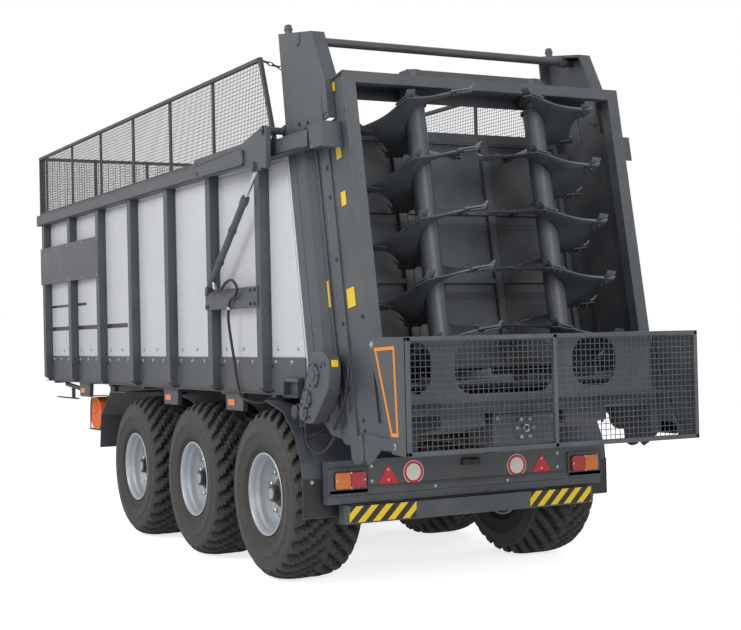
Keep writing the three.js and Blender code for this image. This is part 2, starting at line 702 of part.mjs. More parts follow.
function topBeam() {
  const half = MOUTH_HALF - SEAT;
  const bottom = UNIT_TOP - 78;
  const parts = [box(0, 12, -half, half, bottom, UNIT_TOP)];
  parts.push(box(0, 330, -half, half, UNIT_TOP - 12, UNIT_TOP));
  parts.push(box(318, 330, -half, half, bottom, UNIT_TOP));
  parts.push(box(0, 50, -half, half, bottom, bottom + 12));
  const end = BEATER_Y + 95;
  const crown = [
    [-end, UNIT_TOP - 6],
    [end, UNIT_TOP - 6],
    [end, UNIT_TOP + 60],
    [end - 35, UNIT_TOP + 92],
    [35 - end, UNIT_TOP + 92],
    [-end, UNIT_TOP + 60],
  ];
  parts.push(plateX(crown, BEATER_S - 60, BEATER_S + 60));
  for (const [, side] of sides) {
    parts.push(
      rod([BEATER_S, side * BEATER_Y, BEATER_TOP + 0.5], [BEATER_S, side * BEATER_Y, UNIT_TOP - 2], 90, 20),
    );
  }
  return join(...parts);
}
add("spreader_top_beam", topBeam(), anthracite, unit);

function spreaderBed() {
  const half = MOUTH_HALF - SEAT;
  const parts = [box(-60, GATE_S + 50, -half, half, PAN_TOP - 14, PAN_TOP)];
  parts.push(box(GATE_S - 50, GATE_S + 10, -half, half, PAN_TOP - 120, PAN_TOP));
  parts.push(box(-60, 20, -half, half, PAN_TOP - 110, PAN_TOP));
  for (const [, side] of sides) {
    const y = side * BEATER_Y;
    parts.push(box(BEATER_S - 170, BEATER_S + 170, y - 170, y + 170, PAN_TOP - 200, PAN_TOP + 18));
    parts.push(rod([BEATER_S, y, PAN_TOP], [BEATER_S, y, DISC_BASE - 4], 62, 16));
  }
  parts.push(box(BEATER_S - 70, BEATER_S + 70, -BEATER_Y, BEATER_Y, PAN_TOP - 170, PAN_TOP - 30));
  parts.push(box(BEATER_S - 130, BEATER_S + 150, -140, 140, PAN_TOP - 360, PAN_TOP - 5));
  const [fromS, fromT] = toUnit(SHAFT_REAR_X - 250, SHAFT_Z);
  const [toS, toT] = toUnit(SHAFT_REAR_X, SHAFT_Z);
  parts.push(rod([fromS, 0, fromT], [toS, 0, toT], SHAFT_RADIUS + 20, 16));
  return join(...parts);
}
add("spreader_bed", spreaderBed(), anthracite, unit);

// ---- Towers and gate ----
function tower(side) {
  const outer = [
    [178, TOWER_BASE + SEAT],
    [UNIT_DEPTH, TOWER_BASE + SEAT],
    [UNIT_DEPTH - 27, 4085],
    [304, 3912],
    [178, 3530],
  ];
  const pocket = [
    [192, TOWER_BASE - 20],
    [UNIT_DEPTH - 14, TOWER_BASE - 20],
    [UNIT_DEPTH - 39, 4060],
    [316, 3895],
    [192, 3526],
  ];
  const shell = plateY(outer, side, TOWER_INNER_Y, WALL_OUTER_Y);
  const room = plateY(pocket, side, TOWER_INNER_Y - 20, WALL_OUTER_Y - 12);
  const capY = side * (WALL_OUTER_Y - 45);
  const cap = rod([UNIT_DEPTH - 105, capY, 4050], [UNIT_DEPTH - 105, capY, 4105], 26, 14);
  return join(cut(shell, room), cap);
}
const tieHalf = WALL_OUTER_Y - 5;
const tie = rod([TIE_S, -tieHalf, TIE_T], [TIE_S, tieHalf, TIE_T], TIE_RADIUS, 16);
add("gate_towers", join(tower(1), tower(-1), tie), anthracite, unit);

function slurryGate() {
  const front = GATE_S + RIB_DEPTH + GATE_SHEET;
  const parts = [box(GATE_S + RIB_DEPTH, front, -GATE_HALF, GATE_HALF, GATE_BOTTOM, GATE_TOP)];
  const rib = (y0, y1, t0, t1) => parts.push(box(GATE_S, front, y0, y1, t0, t1));
  rib(-GATE_HALF, GATE_HALF, GATE_TOP - 85, GATE_TOP);
  rib(-GATE_HALF, GATE_HALF, GATE_BOTTOM, GATE_BOTTOM + 50);
  for (const z of [2615, 2113]) {
    const [, t] = toUnit(leanX(GATE_S, z), z);
    rib(-GATE_HALF, GATE_HALF, t - 17, t + 17);
  }
  for (const y of [-375, 375]) rib(y - 36, y + 36, GATE_BOTTOM, GATE_TOP);
  for (const [, side] of sides) {
    parts.push(sideBox(side, GATE_S, front, GATE_HALF - 40, GATE_HALF, GATE_BOTTOM, GATE_TOP));
    for (const t of [GATE_BOTTOM + 60, GATE_TOP - 280]) {
      const shoeOuter = WALL_OUTER_Y - 12 - RUN;
      parts.push(sideBox(side, GATE_S + 5, front + 25, GATE_HALF - 10, shoeOuter, t, t + 160));
    }
    // Lift lug that reaches forward round the tower to the gate arm's pin.
    const [pinS, pinT] = toUnit(...ARM_PIN);
    const lugInner = TOWER_INNER_Y - RUN - 14;
    const lugBottom = Math.min(pinT - 40, GATE_TOP - 20);
    parts.push(sideBox(side, front - 5, pinS + 28, lugInner - 20, lugInner, lugBottom, pinT + 40));
    parts.push(
      sideBox(side, UNIT_DEPTH + RUN, pinS + 28, lugInner - 20, WALL_OUTER_Y, pinT - 40, pinT + 40),
    );
  }
  return join(...parts);
}
add("slurry_gate", slurryGate(), anthracite, unit);

// ---- Beaters ----
// A left-handed helical flight whose edge runs out to a blade tip several times a turn.
function flight() {
  const steps = Math.round(FLIGHT_TURNS * BLADES_PER_TURN * 4);
  const geometry = new THREE.BoxGeometry(1, 1, 1, 1, steps, 1);
  const position = geometry.getAttribute("position");
  for (let i = 0; i < position.count; i++) {
    const outer = position.getX(i) > 0;
    const turn = (position.getY(i) + 0.5) * FLIGHT_TURNS;
    const angle = turn * 2 * Math.PI;
    const scallop = 0.5 - 0.5 * Math.cos(angle * BLADES_PER_TURN);
    const edge = BEATER_TIP_RADIUS - SCALLOP_DEPTH * scallop;
    const r = outer ? edge : BEATER_TUBE_RADIUS - 10;
    const t = FLIGHT_BOTTOM + turn * FLIGHT_PITCH + position.getZ(i) * FLIGHT_THICKNESS;
    position.setXYZ(i, r * Math.cos(angle), -r * Math.sin(angle), t);
  }
  // The mapping above turns the box inside out, so each triangle is reversed.
  const index = geometry.index;
  for (let i = 0; i < index.count; i += 3) {
    const first = index.getX(i);
    index.setX(i, index.getX(i + 1));
    index.setX(i + 1, first);
  }
  return geometry;
}
function beater(side) {
  const tube = rod([0, 0, HUB_TOP + SEAT], [0, 0, BEATER_TOP - 60], BEATER_TUBE_RADIUS, 20);
  const journal = rod([0, 0, BEATER_TOP - 70], [0, 0, BEATER_TOP], 45, 16);
  const whole = solid(join(tube, journal, flight()));
  return geometryOf(side > 0 ? whole.mirror([0, 1, 0]) : whole);
}
function disc() {
  const parts = [rod([0, 0, DISC_BASE], [0, 0, DISC_BASE + DISC_THICKNESS], DISC_RADIUS, 32)];
  parts.push(rod([0, 0, DISC_BASE], [0, 0, HUB_TOP], 80, 20));
  for (let i = 0; i < PADDLES; i++) {
    const paddle = new THREE.BoxGeometry(300, 12, 80);
    paddle.translate(DISC_RADIUS - 165, 0, DISC_BASE + 46);
    parts.push(paddle.rotateZ((i * 2 * Math.PI) / PADDLES));
  }
  return join(...parts);
}
for (const [label, side] of sides) {
  const rotor = new THREE.Group();
  rotor.position.set(BEATER_S, side * BEATER_Y, 0);
  unit.add(rotor);
  add("beater_" + label, beater(side), anthracite, rotor);
  add("spinner_disc_" + label, disc(), anthracite, rotor);
}

// ---- Gate arms and lift cylinders ----
function gateArm(side) {
  const [fx, fz] = ARM_PIVOT;
  const [rx, rz] = ARM_PIN;
  const plate = [
    [fx + 48, fz - 68],
    [fx + 58, fz + 27],
    [fx + 17, fz + 88],
    [rx + 407, rz - 42],
    [rx + 7, rz + 36],
    [rx - 76, rz + 19],
    [rx - 91, rz - 66],
    [rx - 80, rz - 256],
    [rx - 36, rz - 271],
    [rx + 64, rz - 251],
    [rx + 144, rz - 274],
    [rx + 214, rz - 271],
    [rx + 264, rz - 228],
  ];
  const pocket = [
    [fx - 12, fz - 58],
    [fx - 12, fz + 22],
    [rx + 494, rz - 81],
    [rx + 364, rz - 111],
    [rx + 364, rz - 201],
  ];
  const web = plateY(plate, side, ARM_Y, ARM_Y + ARM_PLATE);
  const hole = pinY(...ARM_PIVOT, side, ARM_Y - 30, ARM_Y + 60, 27);
  const stiffener = plateY(pocket, side, ARM_Y + ARM_PLATE - 2, ARM_Y + ARM_PLATE + 14);
  const liftPin = pinY(...ARM_PIN, side, WALL_OUTER_Y + 0.5, ARM_Y + ARM_PLATE + 10, 14);
  const rodBoss = pinY(...ROD_PIN, side, CYLINDER_Y + EYE_HALF + 1, ARM_Y + ARM_PLATE + 10, 20);
  return cut(join(web, stiffener, liftPin, rodBoss), hole);
}
const [bx, bz] = BARREL_PIN;
const cylinderAngle = Math.atan2(ROD_PIN[1] - bz, ROD_PIN[0] - bx);
const closedLength = Math.hypot(ROD_PIN[1] - bz, ROD_PIN[0] - bx);
function along(distance, y) {
  return [bx + distance * Math.cos(cylinderAngle), y, bz + distance * Math.sin(cylinderAngle)];
}
// The point at a distance square to the cylinder, on its lower side.
function below([x, y, z], distance) {
  return [x - distance * Math.sin(cylinderAngle), y, z + distance * Math.cos(cylinderAngle)];
}
function barrel(side) {
  const y = side * CYLINDER_Y;
  const body = join(
    pinY(bx, bz, side, CYLINDER_Y - EYE_HALF, CYLINDER_Y + EYE_HALF, EYE_RADIUS),
    rod(along(20, y), along(80, y), 12),
    rod(along(62, y), along(BARREL_LENGTH - 40, y), BARREL_RADIUS - 2),
    rod(along(BARREL_LENGTH - 60, y), along(BARREL_LENGTH, y), BARREL_RADIUS),
    rod(along(100, y), below(along(100, y), PORT_LENGTH), 12),
  );
  const bore = rod(along(closedLength - 90 - ROD_HIDDEN, y), along(BARREL_LENGTH + 10, y), ROD_RADIUS + 1);
  return cut(body, bore, pinY(bx, bz, side, CYLINDER_Y - 40, CYLINDER_Y + 40, 14));
}
function pistonRod(side) {
  const y = side * CYLINDER_Y;
  const start = closedLength - 60 - ROD_HIDDEN;
  return join(
    rod(along(start, y), along(closedLength - 20, y), ROD_RADIUS),
    pinY(...ROD_PIN, side, CYLINDER_Y - EYE_HALF, CYLINDER_Y + EYE_HALF, EYE_RADIUS - 2),
  );
}
for (const [label, side] of sides) {
  add("gate_arm_" + label, gateArm(side), anthracite);
  add("cylinder_barrel_" + label, barrel(side), anthracite);
  add("cylinder_rod_" + label, pistonRod(side), steel);
}

// ---- Rear guard ----
function rearGuard() {
  const front = GUARD_X + GUARD_TUBE / 2;
  const back = GUARD_X - GUARD_TUBE / 2;
  const sheetInner = GUARD_HALF - GUARD_SHEET;
  const parts = [
    box(GUARD_X - 3, GUARD_X + 3, -GUARD_HALF, GUARD_HALF, GUARD_BOTTOM_Z, GUARD_TOP_Z),
    box(back, front, -GUARD_HALF, GUARD_HALF, GUARD_BOTTOM_Z, GUARD_BOTTOM_Z + GUARD_TUBE),
    box(back, front, -GUARD_HALF, GUARD_HALF, GUARD_TOP_Z - GUARD_TUBE, GUARD_TOP_Z),
    box(back, front, -GUARD_TUBE / 2, GUARD_TUBE / 2, GUARD_BOTTOM_Z, GUARD_TOP_Z),
  ];
  for (const [, side] of sides) {
    const cheek = [
      [GUARD_X, GUARD_BOTTOM_Z],
      [GUARD_PIVOT[0] + 40, GUARD_BOTTOM_Z + 8],
      [GUARD_PIVOT[0] + 52, GUARD_BOTTOM_Z + 70],
      [-523, GUARD_TOP_Z - 90],
      [-523, GUARD_TOP_Z],
      [GUARD_X, GUARD_TOP_Z],
    ];
    const plate = plateY(cheek, side, sheetInner, GUARD_HALF);
    const hole = pinY(...GUARD_PIVOT, side, sheetInner - 20, GUARD_HALF + 20, 13);
    parts.push(cut(plate, hole));
    parts.push(
      sideBox(side, back, front, GUARD_HALF - GUARD_TUBE, GUARD_HALF, GUARD_BOTTOM_Z, GUARD_TOP_Z),
    );
  }
  return join(...parts);
}
add("rear_guard", rearGuard(), anthracite);

// ---- Lights, bumper and mudguards ----
function lightBeam() {
  const [rear, front, half] = [LIGHT_BEAM_X, LIGHT_BEAM_FRONT_X, LIGHT_BEAM_HALF];
  const parts = [box(rear, front, -half, half, LIGHT_BEAM_BOTTOM_Z, LIGHT_BEAM_TOP_Z)];
  for (const [, side] of sides) {
    const hangerTop = BEAM_BOTTOM_Z - SEAT;
    const hangerBottom = LIGHT_BEAM_BOTTOM_Z + 60;
    parts.push(sideBox(side, front - 40, front, BEAM_Y - 50, BEAM_Y + 50, hangerBottom, hangerTop));
  }
  return join(...parts);
}
function bumper() {
  const [rear, front, half] = [BUMPER_X, BUMPER_FRONT_X, BUMPER_HALF];
  const parts = [box(rear, front, -half, half, BUMPER_BOTTOM_Z, BUMPER_TOP_Z)];
  for (const [, side] of sides) {
    parts.push(sideBox(side, front - 40, front, 560, 640, BUMPER_TOP_Z - 5, LIGHT_BEAM_BOTTOM_Z + 5));
  }
  return join(...parts);
}
add("light_beam", join(lightBeam(), bumper()), anthracite);
for (const [label, side] of sides) {
  const outer = LIGHT_BEAM_HALF - 20;
  const lamp = sideBox(side, LIGHT_BEAM_X - 38, LIGHT_BEAM_X - SEAT, outer - 250, outer, 705, 830);
  add("tail_light_" + label, lamp, lampRed);
}

function sheetPath(points, thickness) {
  const upper = points.map(([x, z]) => [x, z]);
  const lower = points.map(([x, z], i) => {
    const a = points[Math.max(i - 1, 0)];
    const b = points[Math.min(i + 1, points.length - 1)];
    const length = Math.hypot(b[0] - a[0], b[1] - a[1]);
    return [x + ((b[1] - a[1]) / length) * thickness, z - ((b[0] - a[0]) / length) * thickness];
  });
  return [...upper, ...lower.reverse()];
}
const beamOuterY = BEAM_Y + BEAM_WIDTH / 2;
const mudguardInnerY = WHEEL_Y - 260;
const mudguardOuterY = WHEEL_Y + 268;
function rearMudguard(side) {
  const x = wheelX(0);
  const path = [
    [x - 80, 1292],
    [x - 380, 1225],
    [x - 570, 1070],
    [x - 662, 880],
    [x - 678, 740],
  ];
  const sheet = plateY(sheetPath(path, -6), side, mudguardInnerY, mudguardOuterY);
  const flap = sideBox(side, x - 678, x - 672, mudguardInnerY, mudguardOuterY, 505, 760);
  const bracket = sideBox(side, x - 430, x - 380, beamOuterY + SEAT, mudguardInnerY + 10, 1190, 1240);
  return join(sheet, flap, bracket);
}
function frontMudguard(side) {
  const x = wheelX(AXLE_NAMES.length - 1);
  const path = [
    [x + 1001, 730],
    [x + 950, 1037],
    [x + 658, 1266],
    [x + 186, 1272],
  ];
  const sheet = plateY(sheetPath(path, -6), side, mudguardInnerY, mudguardOuterY);
  const bracket = sideBox(side, x + 656, x + 706, beamOuterY + SEAT, mudguardInnerY + 10, 1210, 1262);
  return join(sheet, bracket);
}
for (const [label, side] of sides) {
  add("mudguard_rear_" + label, rearMudguard(side), anthracite);
  add("mudguard_front_" + label, frontMudguard(side), anthracite);
}

// ---- Floor drive, drive shaft, chock and hose ----
function floorDrive() {
  const inner = WALL_OUTER_Y + SEAT;
  const shape = [
    [215, 1330],
    [190, 1560],
    [120, 1625],
    [10, 1640],
    [-110, 1600],
    [-330, 1520],
    [-365, 1400],
    [-250, 1185],
    [-90, 1175],
    [60, 1260],
  ];
  const body = plateY(shape, 1, inner, RAIL_OUTER_Y);
  const motor = pinY(120, 1215, 1, inner + 15 - SEAT, RAIL_OUTER_Y + 28, 62, 16);
  const port = box(95, 145, WALL_OUTER_Y + 25, WALL_OUTER_Y + 65, 1120, 1180);
  const neck = box(60, 180, inner, WALL_OUTER_Y + 80, 1215, 1400);
  return join(body, neck, motor, port);
}
add("floor_drive", floorDrive(), anthracite);

const shaft = rod([SHAFT_REAR_X + SEAT, 0, SHAFT_Z], [SHAFT_FRONT_X, 0, SHAFT_Z], SHAFT_RADIUS, 16);
add("drive_shaft", shaft, steel);

function wheelChock() {
  const points = [
    [CHOCK_X + 100, CHOCK_Z + SEAT],
    [CHOCK_X + 280, CHOCK_Z + SEAT],
    [CHOCK_X + 370, CHOCK_Z + 73],
    [CHOCK_X + 410, CHOCK_Z + 153],
    [CHOCK_X + 405, CHOCK_Z + 223],
    [CHOCK_X + 350, CHOCK_Z + 293],
    [CHOCK_X + 260, CHOCK_Z + 321],
    [CHOCK_X + 150, CHOCK_Z + 321],
    [CHOCK_X + 70, CHOCK_Z + 273],
    [CHOCK_X + 30, CHOCK_Z + 183],
    [CHOCK_X + 50, CHOCK_Z + 73],
  ];
  return plateY(points, 1, 945, 1060);
}
add("wheel_chock", wheelChock(), orange);

function liftHose() {
  const [px, py, pz] = below(along(100, CYLINDER_Y), PORT_LENGTH + 9);
  return tube(
    [
      [px, py, pz],
      [1640, 1290, 2100],
      [1540, 1294, 2106],
      [1440, 1294, 2156],
      [1330, 1290, 2168],
      [1262, 1280, 2108],
      [1320, 1272, 2052],
      [1420, 1268, 2024],
      [1462, 1266, 1960],
      [1478, 1264, 1870],
      [1492, 1240, 1720],
      [1500, 1210, 1540],
      [1490, 1195, 1400],
      [1430, 1184, 1290],
      [1260, 1110, 1252],
      [1110, 1080, 1300],
      [postX(0) + MEMBER_WIDTH / 2 + 3.8, 1080, 1330],
    ],
    11,
    30,
    3,
  );
}
add("lift_hose", liftHose(), rubber);

machine.position.x = -(GUARD_X - GUARD_TUBE / 2 + COUPLING_FRONT_X) / 2;
export default machine;
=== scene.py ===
# Looks of a three-axle manure spreader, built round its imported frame.
import math

import bpy
import bmesh
from mathutils import Matrix, Vector


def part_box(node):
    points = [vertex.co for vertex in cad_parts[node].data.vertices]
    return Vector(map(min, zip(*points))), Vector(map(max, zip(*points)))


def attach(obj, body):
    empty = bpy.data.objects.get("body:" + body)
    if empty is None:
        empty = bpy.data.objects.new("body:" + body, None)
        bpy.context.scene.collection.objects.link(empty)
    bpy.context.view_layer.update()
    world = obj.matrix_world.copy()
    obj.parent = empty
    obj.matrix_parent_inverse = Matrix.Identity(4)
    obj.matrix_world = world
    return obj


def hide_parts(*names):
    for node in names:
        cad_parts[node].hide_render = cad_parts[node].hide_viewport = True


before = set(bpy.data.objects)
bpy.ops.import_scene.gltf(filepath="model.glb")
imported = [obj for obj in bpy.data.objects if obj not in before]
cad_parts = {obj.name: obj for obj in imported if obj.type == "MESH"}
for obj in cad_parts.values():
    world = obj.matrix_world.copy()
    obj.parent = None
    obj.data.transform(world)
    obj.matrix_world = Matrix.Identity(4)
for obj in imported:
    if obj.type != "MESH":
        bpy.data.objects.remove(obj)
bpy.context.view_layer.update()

# ---- Viewpoint ----
# The camera stands behind the machine on its left, at eye height, and looks a little upwards.
# The measuring point is the rear axle: every place below is given from 0.9 m behind it.
rear_rim_low, rear_rim_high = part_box("rim_rear_left")
ZERO_X = (rear_rim_low.x + rear_rim_high.x) / 2 - 0.9
FOCAL_LENGTH = 1425.68
FRAME_WIDTH = 741


def at(x, y, z):
    return Vector((x + ZERO_X, y, z))


def camera_matrix(place, yaw, pitch, roll):
    forward = Vector((math.cos(yaw) * math.cos(pitch), -math.sin(yaw) * math.cos(pitch), math.sin(pitch)))
    right = forward.cross(Vector((0, 0, 1))).normalized()
    up = right.cross(forward)
    across = math.cos(roll) * right + math.sin(roll) * up
    upward = math.cos(roll) * up - math.sin(roll) * right
    turn = Matrix((across, upward, -forward)).transposed().to_4x4()
    return Matrix.Translation(place) @ turn


camera = bpy.data.objects.new("camera", bpy.data.cameras.new("camera"))
bpy.context.scene.collection.objects.link(camera)
camera.data.sensor_width = 36
camera.data.lens = 36 * FOCAL_LENGTH / FRAME_WIDTH
camera.data.clip_end = 200
camera.matrix_world = camera_matrix(
    at(-8.495, 5.349, 1.730), math.radians(27.968), math.radians(0.847), math.radians(-1.291)
)
bpy.context.scene.camera = camera


# ---- Studio ----
# A pale seamless floor and a bright surround, with a broad soft lamp high on the machine's left.
def linear(code):
    """An sRGB hex colour as linear values with full cover."""
    parts = [int(code[i : i + 2], 16) / 255 for i in (1, 3, 5)]
    return [c / 12.92 if c <= 0.04045 else ((c + 0.055) / 1.055) ** 2.4 for c in parts] + [1.0]


def put(owner, kind, links=(), **settings):
    """Adds a node, sets its properties or inputs, and links inputs from other nodes' outputs."""
    tree = getattr(owner, "node_tree", owner)
    node = tree.nodes.new(kind)
    for name, value in settings.items():
        if hasattr(node, name):
            setattr(node, name, value)
        else:
            node.inputs[name.replace("_", " ")].default_value = value
    for target, source in links:
        tree.links.new(source, node.inputs[target])
    return node


def new_material(name):
    material = bpy.data.materials.new(name)
    material.use_nodes = True
    material.node_tree.nodes.clear()
    return material


def studio_floor():
    material = new_material("studio_floor")
    path = put(material, "ShaderNodeLightPath")
    seen = put(material, "ShaderNodeMath", [(0, path.outputs["Is Camera Ray"])], operation="MULTIPLY_ADD")
    seen.inputs[1].default_value = 0.55
    seen.inputs[2].default_value = 0.22
    diffuse = put(material, "ShaderNodeBsdfDiffuse", Color=linear("#e9e9e9"))
    white = put(material, "ShaderNodeEmission", [("Strength", seen.outputs[0])], Color=linear("#ffffff"))
    both = put(material, "ShaderNodeAddShader", [(0, diffuse.outputs[0]), (1, white.outputs[0])])
    put(material, "ShaderNodeOutputMaterial", [("Surface", both.outputs[0])])
    bpy.ops.mesh.primitive_plane_add(size=120, location=(0, 0, -0.0005))
    floor = bpy.context.object
    floor.name = "studio_floor"
    floor.data.materials.append(material)


def studio_light(name, place, target, size, power):
    lamp = bpy.data.objects.new(name, bpy.data.lights.new(name, "AREA"))
    lamp.data.shape = "RECTANGLE"
    lamp.data.size, lamp.data.size_y = size
    lamp.data.energy = power
    bpy.context.scene.collection.objects.link(lamp)
    direction = Vector(target) - Vector(place)
    lamp.matrix_world = Matrix.Translation(place) @ direction.to_track_quat("-Z", "Y").to_matrix().to_4x4()


def studio_surround():
    world = bpy.data.worlds.new("surround")
    bpy.context.scene.world = world
    world.use_nodes = True
    world.node_tree.nodes.clear()
    path = put(world, "ShaderNodeLightPath")
    seen = put(
        world,
        "ShaderNodeMath",
        [(0, path.outputs["Is Camera Ray"]), (1, path.outputs["Is Glossy Ray"])],
        operation="MAXIMUM",
    )
    dim = put(world, "ShaderNodeBackground", Color=linear("#eef1f5"), Strength=0.34)
    white = put(world, "ShaderNodeBackground", Color=linear("#ffffff"), Strength=1.0)
    mixed = put(
        world,
        "ShaderNodeMixShader",
        [(0, seen.outputs[0]), (1, dim.outputs[0]), (2, white.outputs[0])],
    )
    put(world, "ShaderNodeOutputWorld", [("Surface", mixed.outputs[0])])


studio_floor()
studio_surround()
studio_light("left_lamp", (-3, 11, 9), (0, 0, 1.6), (9, 6), 830)
studio_light("rear_lamp", (-13, 1, 5), (-3, 0, 1.6), (6, 4), 470)
studio_light("right_lamp", (4, -11, 8), (0, 0, 1.5), (8, 5), 260)
bpy.context.scene.view_settings.view_transform = "Standard"


# ---- Grey painted steelwork ----
# Folded and welded mild steel, shot blasted and powder coated in one dark grey.
# The coat is semi-gloss with a fine orange peel, a little road dust and paler worn spots.
PEEL_MM = 2.5
DUST_MM = 420


def painted(name, colour, roughness=0.42, dust="#8b8a86", dust_amount=0.22, peel=0.0012):
    material = new_material(name)
    coords = put(material, "ShaderNodeTexCoord")
    place = coords.outputs["Object"]
    cloud = put(
        material, "ShaderNodeTexNoise", [("Vector", place)], Scale=1000 / DUST_MM, Detail=6.0, Roughness=0.65
    )
    patch = put(
        material,
        "ShaderNodeMapRange",
        [("Value", cloud.outputs["Fac"])],
        From_Min=0.42,
        From_Max=0.78,
        To_Min=0.0,
        To_Max=dust_amount,
    )
    grain = put(material, "ShaderNodeTexNoise", [("Vector", place)], Scale=1000 / PEEL_MM, Detail=2.0)
    tint = put(
        material,
        "ShaderNodeMix",
        [("Factor", patch.outputs[0])],
        data_type="RGBA",
    )
    tint.inputs[6].default_value = linear(colour)
    tint.inputs[7].default_value = linear(dust)
    rough = put(
        material,
        "ShaderNodeMapRange",
        [("Value", cloud.outputs["Fac"])],
        From_Min=0.3,
        From_Max=0.8,
        To_Min=roughness - 0.05,
        To_Max=roughness + 0.2,
    )
    bump = put(
        material,
        "ShaderNodeBump",
        [("Height", grain.outputs["Fac"])],
        Strength=0.35,
        Distance=peel,
    )
    shader = put(
        material,
        "ShaderNodeBsdfPrincipled",
        [
            ("Base Color", tint.outputs[2]),
            ("Roughness", rough.outputs[0]),
            ("Normal", bump.outputs[0]),
        ],
        IOR=1.5,
    )
    put(material, "ShaderNodeOutputMaterial", [("Surface", shader.outputs[0])])
    return material


GREY_PAINT = painted("grey_powder_coat", "#45494e")
DARK_PAINT = painted("dark_grey_powder_coat", "#383c40", roughness=0.5)


def dress(node, material):
    """Gives a piece of the frame its finish."""
    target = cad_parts[node]
    target.data.materials.clear()
    target.data.materials.append(material)


def link_mesh(name, mesh, material, body="root"):
    piece = bpy.data.objects.new(name, mesh)
    bpy.context.scene.collection.objects.link(piece)
    if material is not None:
        mesh.materials.append(material)
    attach(piece, body)
    return piece


class Shape:
    """Collects boxes, plates, turned shapes and tubes into one mesh."""

    def __init__(self):
        self.bm = bmesh.new()

    def faces(self, points, faces):
        verts = [self.bm.verts.new(p) for p in points]
        for face in faces:
            self.bm.faces.new([verts[i] for i in face])
        return verts

    def prism(self, outline, lift):
        """A closed plate: an outline of points, carried along the vector lift."""
        count = len(outline)
        points = [Vector(p) for p in outline]
        normal = sum(
            ((points[i] - points[0]).cross(points[(i + 1) % count] - points[0]) for i in range(count)),
            Vector(),
        )
        if normal.dot(lift) > 0:
            points.reverse()
        points += [p + Vector(lift) for p in points]
        faces = [list(range(count)), [2 * count - 1 - i for i in range(count)]]
        for i in range(count):
            j = (i + 1) % count
            faces.append([j, i, i + count, j + count])
        self.faces(points, faces)

    def box(self, low, high):
        x0, y0, z0 = (min(a, b) for a, b in zip(low, high))
        x1, y1, z1 = (max(a, b) for a, b in zip(low, high))
        base = [(x0, y0, z0), (x1, y0, z0), (x1, y1, z0), (x0, y1, z0)]
        self.prism(base, (0, 0, z1 - z0))

    def turned(self, centre, axis, profile, steps=32, closed=False):
        """A shape turned about an axis from [radius, distance along] pairs."""
        axis = Vector(axis).normalized()
        side = axis.orthogonal().normalized()
        other = axis.cross(side)
        rings = []
        for r, d in profile:
            base = Vector(centre) + axis * d
            if r < 1e-6:
                rings.append([self.bm.verts.new(base)])
                continue
            rings.append(
                [
                    self.bm.verts.new(
                        base
                        + r * math.cos(2 * math.pi * i / steps) * side
                        + r * math.sin(2 * math.pi * i / steps) * other
                    )
                    for i in range(steps)
                ]
            )
        pairs = list(zip(rings, rings[1:] + rings[:1]))
        if not closed:
            pairs.pop()
        for a, b in pairs:
            for i in range(steps):
                j = (i + 1) % steps
                if len(a) == 1 and len(b) == 1:
                    continue
                if len(a) == 1:
                    self.bm.faces.new([a[0], b[j], b[i]])
                elif len(b) == 1:
                    self.bm.faces.new([a[i], a[j], b[0]])
                else:
                    self.bm.faces.new([a[i], a[j], b[j], b[i]])

    def rod(self, start, end, radius, steps=16):
        start, end = Vector(start), Vector(end)
        length = (end - start).length
        self.turned(start, end - start, [(0, 0), (radius, 0), (radius, length), (0, length)], steps)

    def sweep(self, path, radius, steps=10):
        """A round tube with closed ends along a list of points."""
        points = [Vector(p) for p in path]
        rings = []
        side = None
        for i, point in enumerate(points):
            ahead = points[min(i + 1, len(points) - 1)]
            behind = points[max(i - 1, 0)]
            along = (ahead - behind).normalized()
            if side is None:
                side = along.orthogonal().normalized()
            side = (side - along * side.dot(along)).normalized()
            other = along.cross(side)
            rings.append(
                [
                    self.bm.verts.new(
                        point
                        + radius * math.cos(2 * math.pi * k / steps) * side
                        + radius * math.sin(2 * math.pi * k / steps) * other
                    )
                    for k in range(steps)
                ]
            )
        for a, b in zip(rings, rings[1:]):
            for k in range(steps):
                m = (k + 1) % steps
                self.bm.faces.new([a[k], a[m], b[m], b[k]])
        self.bm.faces.new(list(reversed(rings[0])))
        self.bm.faces.new(rings[-1])

    def piece(self, name, material, body="root", bevel=0.0, smooth=30, place=None, segments=2):
        """The collected shape as one riding piece, with rounded edges and smooth round faces."""
        bmesh.ops.recalc_face_normals(self.bm, faces=self.bm.faces)
        mesh = bpy.data.meshes.new(name)
        if place is not None:
            self.bm.transform(place)
        self.bm.to_mesh(mesh)
        self.bm.free()
        result = link_mesh(name, mesh, material, body)
        if bevel:
            rounding = result.modifiers.new("rounded_edges", "BEVEL")
            rounding.width = bevel
            rounding.segments = segments
            rounding.limit_method = "ANGLE"
            rounding.angle_limit = math.radians(35)
        mesh.polygons.foreach_set("use_smooth", [True] * len(mesh.polygons))
        mesh.set_sharp_from_angle(angle=math.radians(smooth))
        return result


